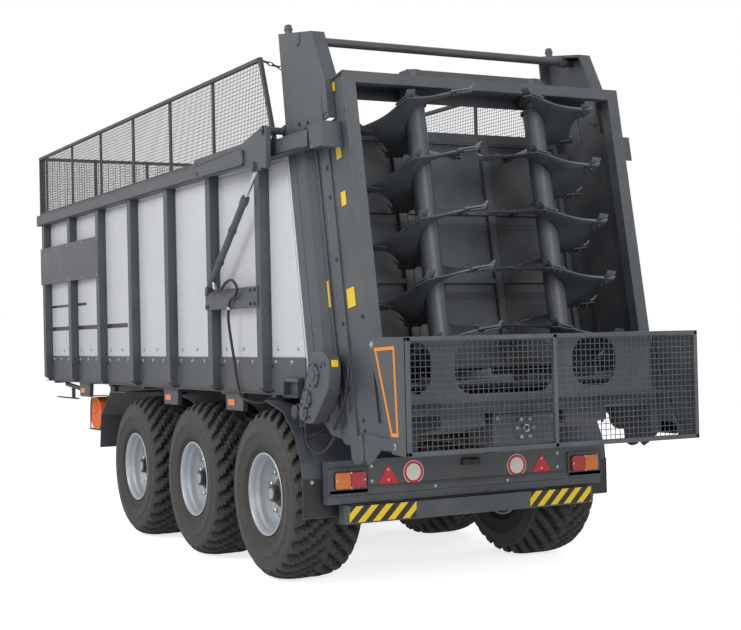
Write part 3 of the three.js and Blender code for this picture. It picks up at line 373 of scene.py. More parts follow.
# ---- Wheels ----
# Flotation tyres on 22.5 inch drop-centre rims: black rubber moulded with long slanting lugs
# that meet in a loose arrow on the crown, and pressed steel rims painted silver with a steel hub.
AXLES = ("rear", "middle", "front")
SIDES = (("left", 1), ("right", -1))
TYRE_HALF = 0.275
LUGS = 30
GROOVE = 0.034
TYRE_STEPS = LUGS * 9
TYRE_SECTION = [
    (0.288, 0.226),
    (0.302, 0.234),
    (0.318, 0.247),
    (0.333, 0.256),
    (0.337, 0.262),
    (0.346, 0.264),
    (0.352, 0.2625),
    (0.395, 0.272),
    (0.436, 0.2745),
    (0.440, 0.2775),
    (0.446, 0.2775),
    (0.450, 0.2745),
    (0.497, 0.271),
    (0.520, 0.2655),
    (0.524, 0.2685),
    (0.531, 0.2665),
    (0.534, 0.2605),
    (0.541, 0.2575),
    (0.562, 0.246),
    (0.581, 0.229),
    (0.595, 0.207),
    (0.604, 0.178),
    (0.610, 0.145),
    (0.614, 0.112),
    (0.616, 0.080),
    (0.616, 0.052),
    (0.616, 0.026),
    (0.616, 0.0),
]


def lug_height(across, turn, radius):
    """1 on a lug and 0 in the groove beside it, from the place across the tread and round it."""
    share = abs(across) / TYRE_HALF
    if radius < 0.545:
        return 1.0
    half = 0.5 if across < 0 else 0.0
    # The lugs start square on the shoulder and slant forward towards the middle.
    slant = 2.35 * (1 - share) ** 1.15
    phase = (turn * LUGS + slant + half) % 1.0
    gap = 0.36 if share > 0.45 else 0.30
    reach = 0.10
    distance = abs(phase - 0.5) * 2
    solid_part = 1 - gap
    value = (solid_part - distance) / reach + 0.5
    if share < 0.12:
        value = max(value, (0.12 - share) / 0.05)
    if share < 0.5 and phase > 0.46 and phase < 0.54:
        value = min(value, 0.75)
    return max(0.0, min(1.0, value))


def tread_painted_shade(height, radius):
    """0 where the rubber is worn pale, and near 1 where it is dark: painted shade deep in a groove, and
    darker towards the bead.
    """
    if radius > 0.545:
        return 0.92 - 0.62 * height
    if radius > 0.48:
        return 0.14
    return 0.22 if radius > 0.36 else 0.34


def rubber_material():
    """Moulded tyre rubber: near black, dulled and browned by dried dust, with painted shade that darkens the
    grooves.
    """
    material = new_material("tyre_rubber")
    coords = put(material, "ShaderNodeTexCoord")
    place = coords.outputs["Object"]
    dust = put(material, "ShaderNodeTexNoise", [("Vector", place)], Scale=7.0, Detail=8.0, Roughness=0.7)
    streak = put(material, "ShaderNodeTexNoise", [("Vector", place)], Scale=38.0, Detail=5.0)
    # The groove attribute holds painted shade: it darkens the rubber in the grooves and towards the bead.
    depth = put(material, "ShaderNodeAttribute", attribute_name="groove")
    mottle = put(
        material,
        "ShaderNodeMath",
        [(0, dust.outputs["Fac"]), (1, streak.outputs["Fac"])],
        operation="ADD",
    )
    share = put(
        material,
        "ShaderNodeMath",
        [(0, mottle.outputs[0]), (2, depth.outputs["Fac"])],
        operation="MULTIPLY_ADD",
    )
    share.inputs[1].default_value = 0.30
    ramp = put(material, "ShaderNodeValToRGB", [("Fac", share.outputs[0])])
    ramp.color_ramp.elements[0].position = 0.25
    ramp.color_ramp.elements[0].color = linear("#4b4a48")
    ramp.color_ramp.elements[1].position = 1.15 / 1.2
    ramp.color_ramp.elements[1].color = linear("#181716")
    middle = ramp.color_ramp.elements.new(0.62)
    middle.color = linear("#302e2c")
    bump = put(material, "ShaderNodeBump", [("Height", streak.outputs["Fac"])], Strength=0.25, Distance=0.002)
    shader = put(
        material,
        "ShaderNodeBsdfPrincipled",
        [("Base Color", ramp.outputs[0]), ("Normal", bump.outputs[0])],
        Roughness=0.72,
        IOR=1.52,
    )
    put(material, "ShaderNodeOutputMaterial", [("Surface", shader.outputs[0])])
    return material


def tyre_mesh():
    """One tyre about the Y axis with its centre at the origin."""
    section = [(r, y) for r, y in TYRE_SECTION] + [(r, -y) for r, y in reversed(TYRE_SECTION[:-1])]
    bm = bmesh.new()
    depth = bm.verts.layers.float.new("groove")
    rings = []
    for i in range(TYRE_STEPS):
        turn = i / TYRE_STEPS
        angle = 2 * math.pi * turn
        ring = []
        for r, y in section:
            height = lug_height(y, turn, r)
            low = r - GROOVE * (1 - height) * min(1.0, (r - 0.535) / 0.05 if r > 0.535 else 0)
            vert = bm.verts.new((low * math.cos(angle), y, low * math.sin(angle)))
            # Each vertex keeps its painted shade for the rubber's colour.
            vert[depth] = tread_painted_shade(height, r)
            ring.append(vert)
        rings.append(ring)
    for a, b in zip(rings, rings[1:] + rings[:1]):
        for k in range(len(section)):
            m = (k + 1) % len(section)
            bm.faces.new([a[k], b[k], b[m], a[m]])
    bmesh.ops.recalc_face_normals(bm, faces=bm.faces)
    mesh = bpy.data.meshes.new("tyre")
    bm.to_mesh(mesh)
    bm.free()
    mesh.polygons.foreach_set("use_smooth", [True] * len(mesh.polygons))
    mesh.set_sharp_from_angle(angle=math.radians(38))
    return mesh


RIM_PROFILE = [
    (0.0, -0.06),
    (0.112, -0.06),
    (0.112, 0.088),
    (0.150, 0.088),
    (0.205, 0.080),
    (0.235, 0.060),
    (0.243, 0.020),
    (0.245, -0.060),
    (0.262, -0.110),
    (0.268, -0.228),
    (0.286, -0.250),
    (0.2985, -0.250),
    (0.2985, -0.238),
    (0.286, -0.230),
    (0.286, 0.230),
    (0.2985, 0.238),
    (0.2985, 0.246),
    (0.294, 0.250),
    (0.286, 0.249),
    (0.277, 0.236),
    (0.272, 0.212),
    (0.270, 0.196),
    (0.262, 0.186),
    (0.259, 0.170),
    (0.259, 0.142),
    (0.252, 0.130),
    (0.246, 0.110),
    (0.240, 0.098),
    (0.226, 0.092),
    (0.210, 0.097),
    (0.190, 0.106),
    (0.165, 0.110),
    (0.120, 0.110),
    (0.0, 0.110),
]
SILVER_PAINT = painted("silver_rim_paint", "#b4b9be", roughness=0.36, dust="#8f8c86", dust_amount=0.25)
SILVER_PAINT.node_tree.nodes["Principled BSDF"].inputs["Metallic"].default_value = 0.35
DARK_STEEL = painted("dark_hub_steel", "#2b2d30", roughness=0.4, dust="#6b6762", dust_amount=0.3)
BRIGHT_STEEL = painted("bright_zinc_steel", "#b9bcbf", roughness=0.28, dust="#7d7a75", dust_amount=0.2)
BRIGHT_STEEL.node_tree.nodes["Principled BSDF"].inputs["Metallic"].default_value = 0.9
WHEEL_STUDS = 10
STUD_CIRCLE = 0.1675

rubber = rubber_material()
TYRE_MESH = tyre_mesh()
for axle_name in AXLES:
    for side_name, side in SIDES:
        low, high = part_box(f"rim_{axle_name}_{side_name}")
        centre = (low + high) / 2
        centre.y = side * 1.0
        body = f"wheel_{axle_name}_{side_name}"
        out = Vector((0, side, 0))
        mesh = TYRE_MESH.copy()
        if side > 0:
            mesh.transform(Matrix.Translation(centre))
        else:
            mesh.transform(Matrix.Translation(centre) @ Matrix.Rotation(math.pi, 4, "Z"))
        tyre = link_mesh(f"lugged_tyre_{axle_name}_{side_name}", mesh, rubber, body)
        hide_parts(f"tyre_{axle_name}_{side_name}")

        disc = Shape()
        disc.turned(centre, out, RIM_PROFILE, 72)
        rim = disc.piece(f"dished_rim_{axle_name}_{side_name}", SILVER_PAINT, body, smooth=40)
        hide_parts(f"rim_{axle_name}_{side_name}")

        hub = Shape()
        hub.turned(
            centre,
            out,
            [
                (0, 0.1), (0.105, 0.1), (0.105, 0.128), (0.082, 0.136), (0.082, 0.15), (0.060, 0.156),
                (0.058, 0.196), (0.05, 0.203), (0, 0.203)
            ],
            36,
        )
        hub.piece(f"hub_cap_{axle_name}_{side_name}", DARK_STEEL, body, smooth=40)
        studs = Shape()
        for k in range(WHEEL_STUDS):
            angle = 2 * math.pi * (k + 0.5) / WHEEL_STUDS
            foot = centre + STUD_CIRCLE * Vector((math.cos(angle), 0, math.sin(angle)))
            studs.turned(
                foot, out,
                [(0, 0.1), (0.017, 0.1), (0.017, 0.128), (0.010, 0.134), (0.010, 0.146), (0, 0.146)], 6
            )
        studs.turned(centre, out, [(0, 0.2), (0.042, 0.2), (0.040, 0.2045), (0, 0.2045)], 32)
        studs.piece(f"wheel_nuts_{axle_name}_{side_name}", BRIGHT_STEEL, body, smooth=35)


# ---- Fasteners, rods and wires ----
# Zinc plated hexagon bolts and dome screws, and round wire or hose laid along a line.
# Two node trees make them: one sets a bolt on each point, the other runs a round section along edges.
def start_tree(name, sockets):
    tree = bpy.data.node_groups.new(name, "GeometryNodeTree")
    tree.interface.new_socket("Geometry", in_out="OUTPUT", socket_type="NodeSocketGeometry")
    for label, kind in [("Geometry", "NodeSocketGeometry")] + sockets:
        tree.interface.new_socket(label, in_out="INPUT", socket_type=kind)
    return tree


def end_tree(tree, geometry, given):
    real = put(tree, "GeometryNodeRealizeInstances", [("Geometry", geometry)])
    coated = put(
        tree, "GeometryNodeSetMaterial", [
            ("Geometry", real.outputs[0]), ("Material", given.outputs["Material"])
        ]
    )
    put(tree, "NodeGroupOutput", [(0, coated.outputs[0])])


def bolt_tree():
    """A washer and a head on each point, turned to face along its facing vector."""
    tree = start_tree(
        "bolt_on_each_point",
        [
            ("Radius", "NodeSocketFloat"),
            ("Height", "NodeSocketFloat"),
            ("Sides", "NodeSocketInt"),
            ("Material", "NodeSocketMaterial"),
        ],
    )
    given = put(tree, "NodeGroupInput")
    radius, height = given.outputs["Radius"], given.outputs["Height"]
    wide = put(tree, "ShaderNodeMath", [(0, radius)], operation="MULTIPLY")
    wide.inputs[1].default_value = 1.35
    thin = put(tree, "ShaderNodeMath", [(0, height)], operation="MULTIPLY")
    thin.inputs[1].default_value = 0.25
    washer = put(
        tree, "GeometryNodeMeshCylinder", [
            ("Radius", wide.outputs[0]), ("Depth", thin.outputs[0])
        ], Vertices=14
    )
    head = put(
        tree,
        "GeometryNodeMeshCone",
        [("Vertices", given.outputs["Sides"]), ("Radius Bottom", radius), ("Depth", height)],
    )
    small = put(tree, "ShaderNodeMath", [(0, radius)], operation="MULTIPLY")
    small.inputs[1].default_value = 0.86
    tree.links.new(small.outputs[0], head.inputs["Radius Top"])
    both = put(tree, "GeometryNodeJoinGeometry")
    tree.links.new(washer.outputs["Mesh"], both.inputs[0])
    tree.links.new(head.outputs["Mesh"], both.inputs[0])
    facing = put(tree, "GeometryNodeInputNamedAttribute", data_type="FLOAT_VECTOR", Name="facing")
    turn = put(tree, "FunctionNodeAlignRotationToVector", [("Vector", facing.outputs["Attribute"])], axis="Z")
    bolts = put(
        tree,
        "GeometryNodeInstanceOnPoints",
        [("Points", given.outputs["Geometry"]), ("Instance", both.outputs[0]), ("Rotation", turn.outputs[0])],
    )
    end_tree(tree, bolts.outputs[0], given)
    return tree


def rod_tree():
    """A round section along every edge line, smoothed first where Curved is on."""
    tree = start_tree(
        "rod_along_edges",
        [
            ("Radius", "NodeSocketFloat"),
            ("Sides", "NodeSocketInt"),
            ("Curved", "NodeSocketBool"),
            ("Step", "NodeSocketFloat"),
            ("Material", "NodeSocketMaterial"),
        ],
    )
    given = put(tree, "NodeGroupInput")
    line = put(tree, "GeometryNodeMeshToCurve", [("Mesh", given.outputs["Geometry"])])
    soft = put(tree, "GeometryNodeCurveSplineType", [("Curve", line.outputs[0])], spline_type="CATMULL_ROM")
    even = put(
        tree,
        "GeometryNodeResampleCurve",
        [("Curve", soft.outputs[0]), ("Length", given.outputs["Step"])],
        mode="LENGTH",
    )
    chosen = put(
        tree,
        "GeometryNodeSwitch",
        [(0, given.outputs["Curved"]), (1, line.outputs[0]), (2, even.outputs[0])],
        input_type="GEOMETRY",
    )
    ring = put(
        tree,
        "GeometryNodeCurvePrimitiveCircle",
        [("Radius", given.outputs["Radius"]), ("Resolution", given.outputs["Sides"])],
    )
    rod = put(
        tree,
        "GeometryNodeCurveToMesh",
        [("Curve", chosen.outputs[0]), ("Profile Curve", ring.outputs[0])],
        Fill_Caps=True,
    )
    end_tree(tree, rod.outputs[0], given)
    return tree


BOLT_TREE = bolt_tree()
ROD_TREE = rod_tree()


def grow(name, mesh, tree, body, smooth, **sizes):
    """Runs a node tree on a mesh of points or edges and keeps the result as a plain riding piece."""
    piece = bpy.data.objects.new(name, mesh)
    bpy.context.scene.collection.objects.link(piece)
    growth = piece.modifiers.new("growth", "NODES")
    growth.node_group = tree
    for item in tree.interface.items_tree:
        if item.in_out == "INPUT" and item.name in sizes:
            growth[item.identifier] = sizes[item.name]
    graph = bpy.context.evaluated_depsgraph_get()
    result = bpy.data.meshes.new_from_object(piece.evaluated_get(graph))
    piece.modifiers.clear()
    piece.data = result
    bm = bmesh.new()
    bm.from_mesh(result)
    bmesh.ops.recalc_face_normals(bm, faces=bm.faces)
    bm.to_mesh(result)
    bm.free()
    result.polygons.foreach_set("use_smooth", [True] * len(result.polygons))
    result.set_sharp_from_angle(angle=math.radians(smooth))
    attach(piece, body)
    return piece


def bolts(name, places, radius, height=0.008, sides=6, material=BRIGHT_STEEL, body="root"):
    """Bolt heads at [point, facing] places, standing on the surface there."""
    mesh = bpy.data.meshes.new(name)
    mesh.from_pydata([Vector(p) for p, _ in places], [], [])
    facing = mesh.attributes.new("facing", "FLOAT_VECTOR", "POINT")
    facing.data.foreach_set("vector", [c for _, f in places for c in Vector(f).normalized()])
    return grow(name, mesh, BOLT_TREE, body, 35, Radius=radius, Height=height, Sides=sides, Material=material)


def rods(name, lines, radius, material, sides=6, curved=False, step=0.02, body="root"):
    """Round rods, wires or hoses along lists of points."""
    points, edges = [], []
    for line in lines:
        edges += [(len(points) + i, len(points) + i + 1) for i in range(len(line) - 1)]
        points += [Vector(p) for p in line]
    mesh = bpy.data.meshes.new(name)
    mesh.from_pydata(points, edges, [])
    sizes = {"Radius": radius, "Sides": sides, "Curved": curved, "Step": step, "Material": material}
    return grow(name, mesh, ROD_TREE, body, 50, **sizes)


# ---- Hopper sides ----
# Silver coated steel sheets in seven bays, each with its edges folded back, between dark folded
# posts with narrow flanges. A deep sill and a box rail close them below and above.
POSTS = 7
POST_PITCH = 0.966
FIRST_POST = 0.968
POST_HALF = 0.046
WALL_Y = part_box("side_wall_left")[1].y
RAIL_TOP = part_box("side_frame_left")[1].z
RAIL_Y = WALL_Y + 0.102
POST_Y = WALL_Y + 0.075
RAIL_LOW = RAIL_TOP - 0.111
ARM_PIVOT = (1.972, 3.053)
BARREL_PIN = (1.812, 2.114)
SILL_TOP = 1.590
SILL_LOW = 1.324
RAIL_FRONT = 6.91
SHEET_FOLD = 0.006

silver_sheet = painted("silver_coated_sheet", "#cfd1d4", roughness=0.34, dust="#a3a19c", dust_amount=0.16)
silver_sheet.node_tree.nodes["Principled BSDF"].inputs["Metallic"].default_value = 0.15


def lean_x(s, z):
    """How far ahead the plane lies that is s ahead of the spreading unit's rear plane, at height z."""
    return -0.810 + s / math.cos(math.atan(0.1734)) + z * 0.1734


def post_x(k):
    return FIRST_POST + k * POST_PITCH


def hopper_side(label, side):
    dress(f"side_wall_{label}", silver_sheet)
    sheets = Shape()
    bays = [(lean_x(0.852, 0), post_x(0) - POST_HALF)]
    bays += [(post_x(k) + POST_HALF, post_x(k + 1) - POST_HALF) for k in range(POSTS - 1)]
    for k, (rear, front) in enumerate(bays):
        low = lean_x(0.852, SILL_TOP) + 0.02 if k == 0 else rear + 0.022
        high = lean_x(0.852, RAIL_LOW) + 0.02 if k == 0 else rear + 0.022
        face = [
            (low, SILL_TOP + 0.004),
            (front - 0.022, SILL_TOP + 0.004),
            (front - 0.022, RAIL_LOW - 0.026),
            (high, RAIL_LOW - 0.026),
        ]
        sheets.prism([at(x, side * WALL_Y, z) for x, z in face], (0, side * SHEET_FOLD, 0))
    sheets.piece(f"folded_sheets_{label}", silver_sheet, bevel=0.004)

    frames = Shape()
    for k in range(POSTS):
        x = post_x(k)
        section = [(-0.066, 0), (-0.066, 0.004), (-POST_HALF, 0.004), (-POST_HALF, 0.075)]
        section += [(-a, d) for a, d in reversed(section)]
        foot = 1.373
        frames.prism(
            [at(x + a, side * (WALL_Y + 0.0005 + d), foot) for a, d in section], (0, 0, RAIL_LOW - foot)
        )
        toe = [(0.0, foot - 0.045), (0.075, foot), (0.0, foot)]
        frames.prism([at(x - POST_HALF, side * (WALL_Y + d), z) for d, z in toe], (2 * POST_HALF, 0, 0))
    rear_end = lean_x(0.855, SILL_TOP) + 0.01
    frames.box(
        at(rear_end, side * (WALL_Y + 0.0005), SILL_LOW), at(
            RAIL_FRONT - 0.03, side * (WALL_Y + 0.012), SILL_TOP
        )
    )
    frames.box(
        at(rear_end + 0.02, side * (WALL_Y + 0.012), SILL_LOW + 0.004),
        at(RAIL_FRONT - 0.04, side * (WALL_Y + 0.05), SILL_LOW + 0.010),
    )
    frames.box(at(0.048, side * (WALL_Y + 0.0005), RAIL_LOW), at(RAIL_FRONT, side * RAIL_Y, RAIL_TOP))
    frames.box(
        at(0.16, side * (RAIL_Y - 0.005), RAIL_LOW + 0.0005), at(
            RAIL_FRONT - 0.005, side * RAIL_Y, RAIL_LOW + 0.01
        )
    )
    frames.box(
        at(0.16, side * (RAIL_Y - 0.001), RAIL_TOP - 0.012), at(
            RAIL_FRONT - 0.005, side * (RAIL_Y + 0.003), RAIL_TOP - 0.004
        )
    )
    body = frames.piece(f"folded_posts_and_rail_{label}", GREY_PAINT, bevel=0.003)
    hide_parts(f"side_frame_{label}")

    cheeks = Shape()
    # Bracket tube and bearing plate of the lift cylinder, and the two pins of the gate's linkage.
    cheeks.box(at(post_x(0), side * WALL_Y, 1.96), at(post_x(1) + 0.05, side * (WALL_Y + 0.088), 2.11))
    cheeks.box(at(1.762, side * (POST_Y - 0.02), 2.054), at(1.862, side * (WALL_Y + 0.09), 2.154))
    cheeks.turned(
        at(BARREL_PIN[0], side * 1.24, BARREL_PIN[1]), (0, side, 0),
        [(0, 0), (0.013, 0), (0.013, 0.068), (0.010, 0.071), (0, 0.071)], 20
    )
    cheeks.turned(
        at(1.812, side * 1.299, 2.114), (0, side, 0), [(0, 0), (0.026, 0), (0.026, 0.010), (0, 0.010)], 20
    )
    cheeks.turned(
        at(ARM_PIVOT[0], side * 1.252, ARM_PIVOT[1]), (0, side, 0), [
            (0, 0), (0.026, 0), (0.026, 0.075), (0.022, 0.077), (0, 0.077)
        ], 28
    )
    cheeks.turned(
        at(ARM_PIVOT[0], side * 1.262, ARM_PIVOT[1]), (0, side, 0), [
            (0, 0), (0.055, 0), (0.055, 0.034), (0.048, 0.039), (0, 0.039)
        ], 32
    )
    cheeks.piece(f"linkage_brackets_{label}", GREY_PAINT, bevel=0.004)

    screws = []
    out = (0, side, 0)
    for k in range(-1, POSTS - 1):
        for share in (0.285, 0.570, 0.848):
            if k >= 0 or share > 0.5:
                screws.append(
                    (
                        at(post_x(k) + share * POST_PITCH, side * (WALL_Y + 0.0125), SILL_TOP - 0.030),
                        out
                    )
                )
        for share in (0.150, 0.472, 0.817):
            if k >= 0 or share > 0.4:
                screws.append(
                    (at(post_x(k) + share * POST_PITCH, side * (WALL_Y + 0.006), SILL_TOP + 0.065), out)
                )
    bolts(f"sill_screws_{label}", screws, 0.0125, 0.008, 12)
    heads = []
    for k in range(POSTS):
        for z in (SILL_LOW + 0.030, SILL_TOP - 0.060):
            heads += [(at(post_x(k) + a, side * (WALL_Y + 0.0135), z), out) for a in (-0.085, 0.085)]
    for x in (1.01, 1.09, 1.93, 1.96):
        heads += [(at(x, side * (WALL_Y + 0.0905), z), out) for z in (1.985, 2.085)]
    bolts(f"frame_bolts_{label}", heads, 0.011, 0.008, material=DARK_STEEL)


for side_name, side in SIDES:
    hopper_side(side_name, side)


# ---- Mesh screens ----
# Square welded mesh of round wire in frames of square tube, painted with the machine.
# The side screens slope at the rear, and the front one closes the hopper's front.
SCREEN_Y = (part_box("screen_left")[0].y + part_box("screen_left")[1].y) / 2
SCREEN_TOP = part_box("screen_left")[1].z
SCREEN_LOW = RAIL_TOP + 0.0003
SCREEN_TUBE = 0.030
SCREEN_PITCH = 0.0275
SCREEN_WIRE = 0.0021
SCREEN_REAR_TOP = 0.904
SCREEN_REAR_LOW = 0.668
SCREEN_FRONT = 6.885


def slanted_bar(shape, side, low, high, y, depth):
    """Square tube between two places in X and Z, cut level at both ends."""
    across = SCREEN_TUBE / 2 * math.hypot(high[0] - low[0], high[1] - low[1]) / abs(high[1] - low[1])
    points = [
        (low[0] - across, low[1]), (low[0] + across, low[1]), (high[0] + across, high[1]),
        (high[0] - across, high[1])
    ]
    shape.prism([at(x, side * (y - depth / 2), z) for x, z in points], (0, side * depth, 0))


def side_screen(label, side):
    bars = Shape()
    half = SCREEN_TUBE / 2
    y0, y1 = side * (SCREEN_Y - half), side * (SCREEN_Y + half)
    bars.box(at(SCREEN_REAR_LOW, y0, SCREEN_LOW), at(SCREEN_FRONT + half, y1, SCREEN_LOW + SCREEN_TUBE))
    bars.box(
        at(SCREEN_REAR_TOP - 0.004, y0, SCREEN_TOP - SCREEN_TUBE),
        at(SCREEN_FRONT + half, y1, SCREEN_TOP)
    )
    slanted_bar(
        bars, side, (SCREEN_REAR_LOW + 0.008, SCREEN_LOW), (SCREEN_REAR_TOP + 0.002, SCREEN_TOP),
        SCREEN_Y, SCREEN_TUBE
    )
    bars.box(at(SCREEN_FRONT - half, y0, SCREEN_LOW), at(SCREEN_FRONT + half, y1, SCREEN_TOP))
    for k in range(1, POSTS):
        x = post_x(k) - 0.09
        inward = y0 - side * 0.004
        bars.box(at(x - half, inward, SCREEN_LOW), at(x + half, y1 - side * 0.012, SCREEN_TOP - 0.01))
    frame_piece = bars.piece(f"screen_tubes_{label}", DARK_PAINT, bevel=0.003)
    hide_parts(f"screen_{label}")

    wires = []
    outer, inner = side * (SCREEN_Y + SCREEN_WIRE), side * (SCREEN_Y - SCREEN_WIRE)
    rear_slope = (SCREEN_REAR_TOP - SCREEN_REAR_LOW) / (SCREEN_TOP - SCREEN_LOW)
    for i in range(1, int((SCREEN_TOP - SCREEN_LOW) / SCREEN_PITCH)):
        z = SCREEN_LOW + i * SCREEN_PITCH
        rear = SCREEN_REAR_LOW + (z - SCREEN_LOW) * rear_slope
        wires.append([at(rear, outer, z), at(SCREEN_FRONT, outer, z)])
    for i in range(1, int((SCREEN_FRONT - SCREEN_REAR_LOW) / SCREEN_PITCH)):
        x = SCREEN_FRONT - i * SCREEN_PITCH
        top = min(SCREEN_TOP, SCREEN_LOW + (x - SCREEN_REAR_LOW) / rear_slope)
        wires.append([at(x, inner, SCREEN_LOW + 0.02), at(x, inner, top - 0.01)])
    rods(f"screen_wires_{label}", wires, SCREEN_WIRE, DARK_PAINT, sides=5)


for side_name, side in SIDES:
    side_screen(side_name, side)

front_half = SCREEN_Y - SCREEN_TUBE / 2 - 0.0003
front_bars = Shape()
for z in (SCREEN_LOW, SCREEN_TOP - SCREEN_TUBE):
    front_bars.box(
        at(SCREEN_FRONT - 0.015, -front_half, z), at(SCREEN_FRONT + 0.015, front_half, z + SCREEN_TUBE)
    )
for share in (-0.987, -0.5, 0, 0.5, 0.987):
    y = share * front_half
    front_bars.box(
        at(SCREEN_FRONT - 0.015, y - 0.015, SCREEN_LOW), at(SCREEN_FRONT + 0.015, y + 0.015, SCREEN_TOP)
    )
front_frame = front_bars.piece("screen_tubes_front", DARK_PAINT, bevel=0.003)
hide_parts("screen_front")
front_wires = []
for i in range(1, int((SCREEN_TOP - SCREEN_LOW) / SCREEN_PITCH)):
    z = SCREEN_LOW + i * SCREEN_PITCH
    front_wires.append(
        [at(SCREEN_FRONT + SCREEN_WIRE, -front_half, z), at(SCREEN_FRONT + SCREEN_WIRE, front_half, z)]
    )
for i in range(1, int(2 * front_half / SCREEN_PITCH)):
    y = i * SCREEN_PITCH - front_half
    front_wires.append(
        [at(SCREEN_FRONT - SCREEN_WIRE, y, SCREEN_LOW), at(SCREEN_FRONT - SCREEN_WIRE, y, SCREEN_TOP)]
    )
rods("screen_wires_front", front_wires, SCREEN_WIRE, DARK_PAINT, sides=5)


# ---- Spreading unit's sides ----
# Folded steel side plates leaning back over the rear, each a column with flanges beside the mouth.
# A silver coated sheet closes the front part, and a channel strip with washered bolts runs up it.
UNIT_LEAN = math.atan(0.1734)
UNIT = Matrix.Translation(at(-0.810, 0, 0)) @ Matrix.Rotation(UNIT_LEAN, 4, "Y")
UNIT_TOP = 3.529
CHEEK_Y = 1.107
FRONT_Y = 1.160
STRIP_BOLTS = (3.387, 2.966, 2.762, 2.335, 1.903, 1.474)
ORANGE_LINE = painted("orange_marking_paint", "#f7941d", roughness=0.4, dust="#b9793a", dust_amount=0.2)
YELLOW_FOIL = painted(
    "yellow_sticker_foil", "#f2cc12", roughness=0.33, dust="#a08a3a", dust_amount=0.18, peel=0.0003
)
BLACK_FOIL = painted(
    "black_sticker_foil", "#1b1c1e", roughness=0.36, dust="#55524e", dust_amount=0.2, peel=0.0003
)


def in_unit(s, y, t):
    return UNIT @ Vector((s, y, t))


def unit_turned(direction):
    return UNIT.to_3x3() @ Vector(direction)


def blank_sticker(name, corners, lift, foil=None, body="root"):
    """A thin sticker with a black border strip and nothing printed on it."""
    middle = sum((Vector(c) for c in corners), Vector()) / len(corners)
    edge = Shape()
    edge.prism(corners, Vector(lift) * 0.5)
    edge.piece(f"{name}_border", BLACK_FOIL, body)
    inner = Shape()
    inset = [Vector(c) + (middle - Vector(c)).normalized() * 0.007 for c in corners]
    inner.prism(inset, lift)
    inner.piece(name, foil or YELLOW_FOIL, body)


def unit_side(label, side):
    panel = Shape()
    low_front, high_front = 1.56, UNIT_TOP - 0.085
    panel.prism(
        [
            in_unit(s, side * FRONT_Y, t)
            for s, t in (
                (0.735, low_front), (0.838, low_front), (0.838, high_front), (0.735, high_front)
            )
        ],
        unit_turned((0, side * 0.0022, 0)),
    )
    panel.piece(f"welded_edge_plate_{label}", GREY_PAINT, bevel=0.0008)

    trim = Shape()
    y0 = side * (CHEEK_Y - 0.001)
    trim.box((0.484, y0, 1.26), (0.500, side * (CHEEK_Y + 0.012), UNIT_TOP - 0.060))
    trim.box((0.0, y0, 1.20), (0.010, side * (CHEEK_Y + 0.014), UNIT_TOP))
    trim.box((0.0, y0, UNIT_TOP - 0.012), (0.159, side * (CHEEK_Y + 0.014), UNIT_TOP))
    trim.piece(f"side_plate_folds_{label}", GREY_PAINT, bevel=0.002, place=UNIT)

    strip = Shape()
    # Channel strip with folded edges up the whole side, ending in a rounded foot below.
    land = [
        (0.304, 0), (0.304, 0.014), (0.312, 0.014), (0.318, 0.009), (0.402, 0.009), (0.408, 0.014),
        (0.416, 0.014), (0.416, 0)
    ]
    strip.prism([(s, side * (CHEEK_Y - 0.001 + d), 1.10) for s, d in land], (0, 0, UNIT_TOP - 0.27 - 1.10))
    arc = [math.pi * i / 10 for i in range(11)]
    foot = [(0.335 + 0.088 * math.cos(a), 1.055 - 0.080 * math.sin(a) ** 0.7) for a in arc]
    foot = [(0.423, 1.16)] + foot + [(0.247, 1.16)]
    strip.prism([(s, side * (CHEEK_Y + 0.0005), t) for s, t in foot], (0, side * 0.010, 0))
    strip.piece(f"channel_strip_{label}", GREY_PAINT, bevel=0.002, place=UNIT)

    out = unit_turned((0, side, 0))
    dark = [(in_unit(0.356, side * (CHEEK_Y + 0.008), t), out) for t in STRIP_BOLTS]
    dark += [
        (in_unit(s, side * CHEEK_Y, t), out)
        for s, t in (
            (0.221, 1.246), (0.218, 1.178), (0.210, 1.112), (0.735, 1.260), (0.659, 1.200),
            (0.090, 1.90), (0.031, 3.274)
        )
    ]
    bolts(f"strip_bolts_{label}", dark, 0.0125, 0.009, material=DARK_STEEL)
    seam = [(in_unit(0.728, side * (FRONT_Y + 0.0004), 1.60 + i * 0.060), out) for i in range(31)]
    bolts(f"seam_stitch_welds_{label}", seam, 0.0045, 0.002, 8, material=DARK_STEEL)

    places = [
        ((0.143, 0.180), (3.433, 3.537 - 0.03)),
        ((0.148, 0.223), (2.974, 3.176)),
        ((0.143, 0.219), (2.655, 2.761)),
        ((0.504, 0.549), (2.043, 2.238)),
        ((0.158, 0.280), (1.983, 2.121)),
    ]
    for number, ((s0, s1), (t0, t1)) in enumerate(places):
        corners = [
            in_unit(s, side * (CHEEK_Y + 0.0002), t)
            for s, t in ((s0, t0), (s1, t0), (s1, t1), (s0, t1))
        ]
        blank_sticker(f"blank_sticker_{number}_{label}", corners, out * 0.0012)


for side_name, side in SIDES:
    unit_side(side_name, side)

# ---- Top beam and mouth edges ----
# A folded box joins the sides over the mouth and carries both upper bearings under a crowned cover.
# Dark bolts hold the bearings, and a rolled lip runs along its lower edge.
crown = Shape()
crown.box((-0.002, -1.02, 3.452), (0.004, 1.02, 3.470))
for y in (-0.49, 0.49):
    crown.turned(
        (0.19, y, UNIT_TOP), (0, 0, 1),
        [(0, 0), (0.112, 0), (0.112, 0.014), (0.085, 0.020), (0.085, 0.088), (0, 0.088)], 40
    )
crown.piece("bearing_covers", GREY_PAINT, bevel=0.003, place=UNIT)
cover_bolts = []
for y in (-0.49, 0.49):
    for k in range(6):
        angle = math.pi / 3 * (k + 0.5)
        cover_bolts.append(
            (
                in_unit(0.19 + 0.098 * math.cos(angle), y + 0.098 * math.sin(angle), UNIT_TOP + 0.014),
                unit_turned((0, 0, 1))
            )
        )
bolts("top_beam_bolts", cover_bolts, 0.010, 0.008, material=DARK_STEEL)

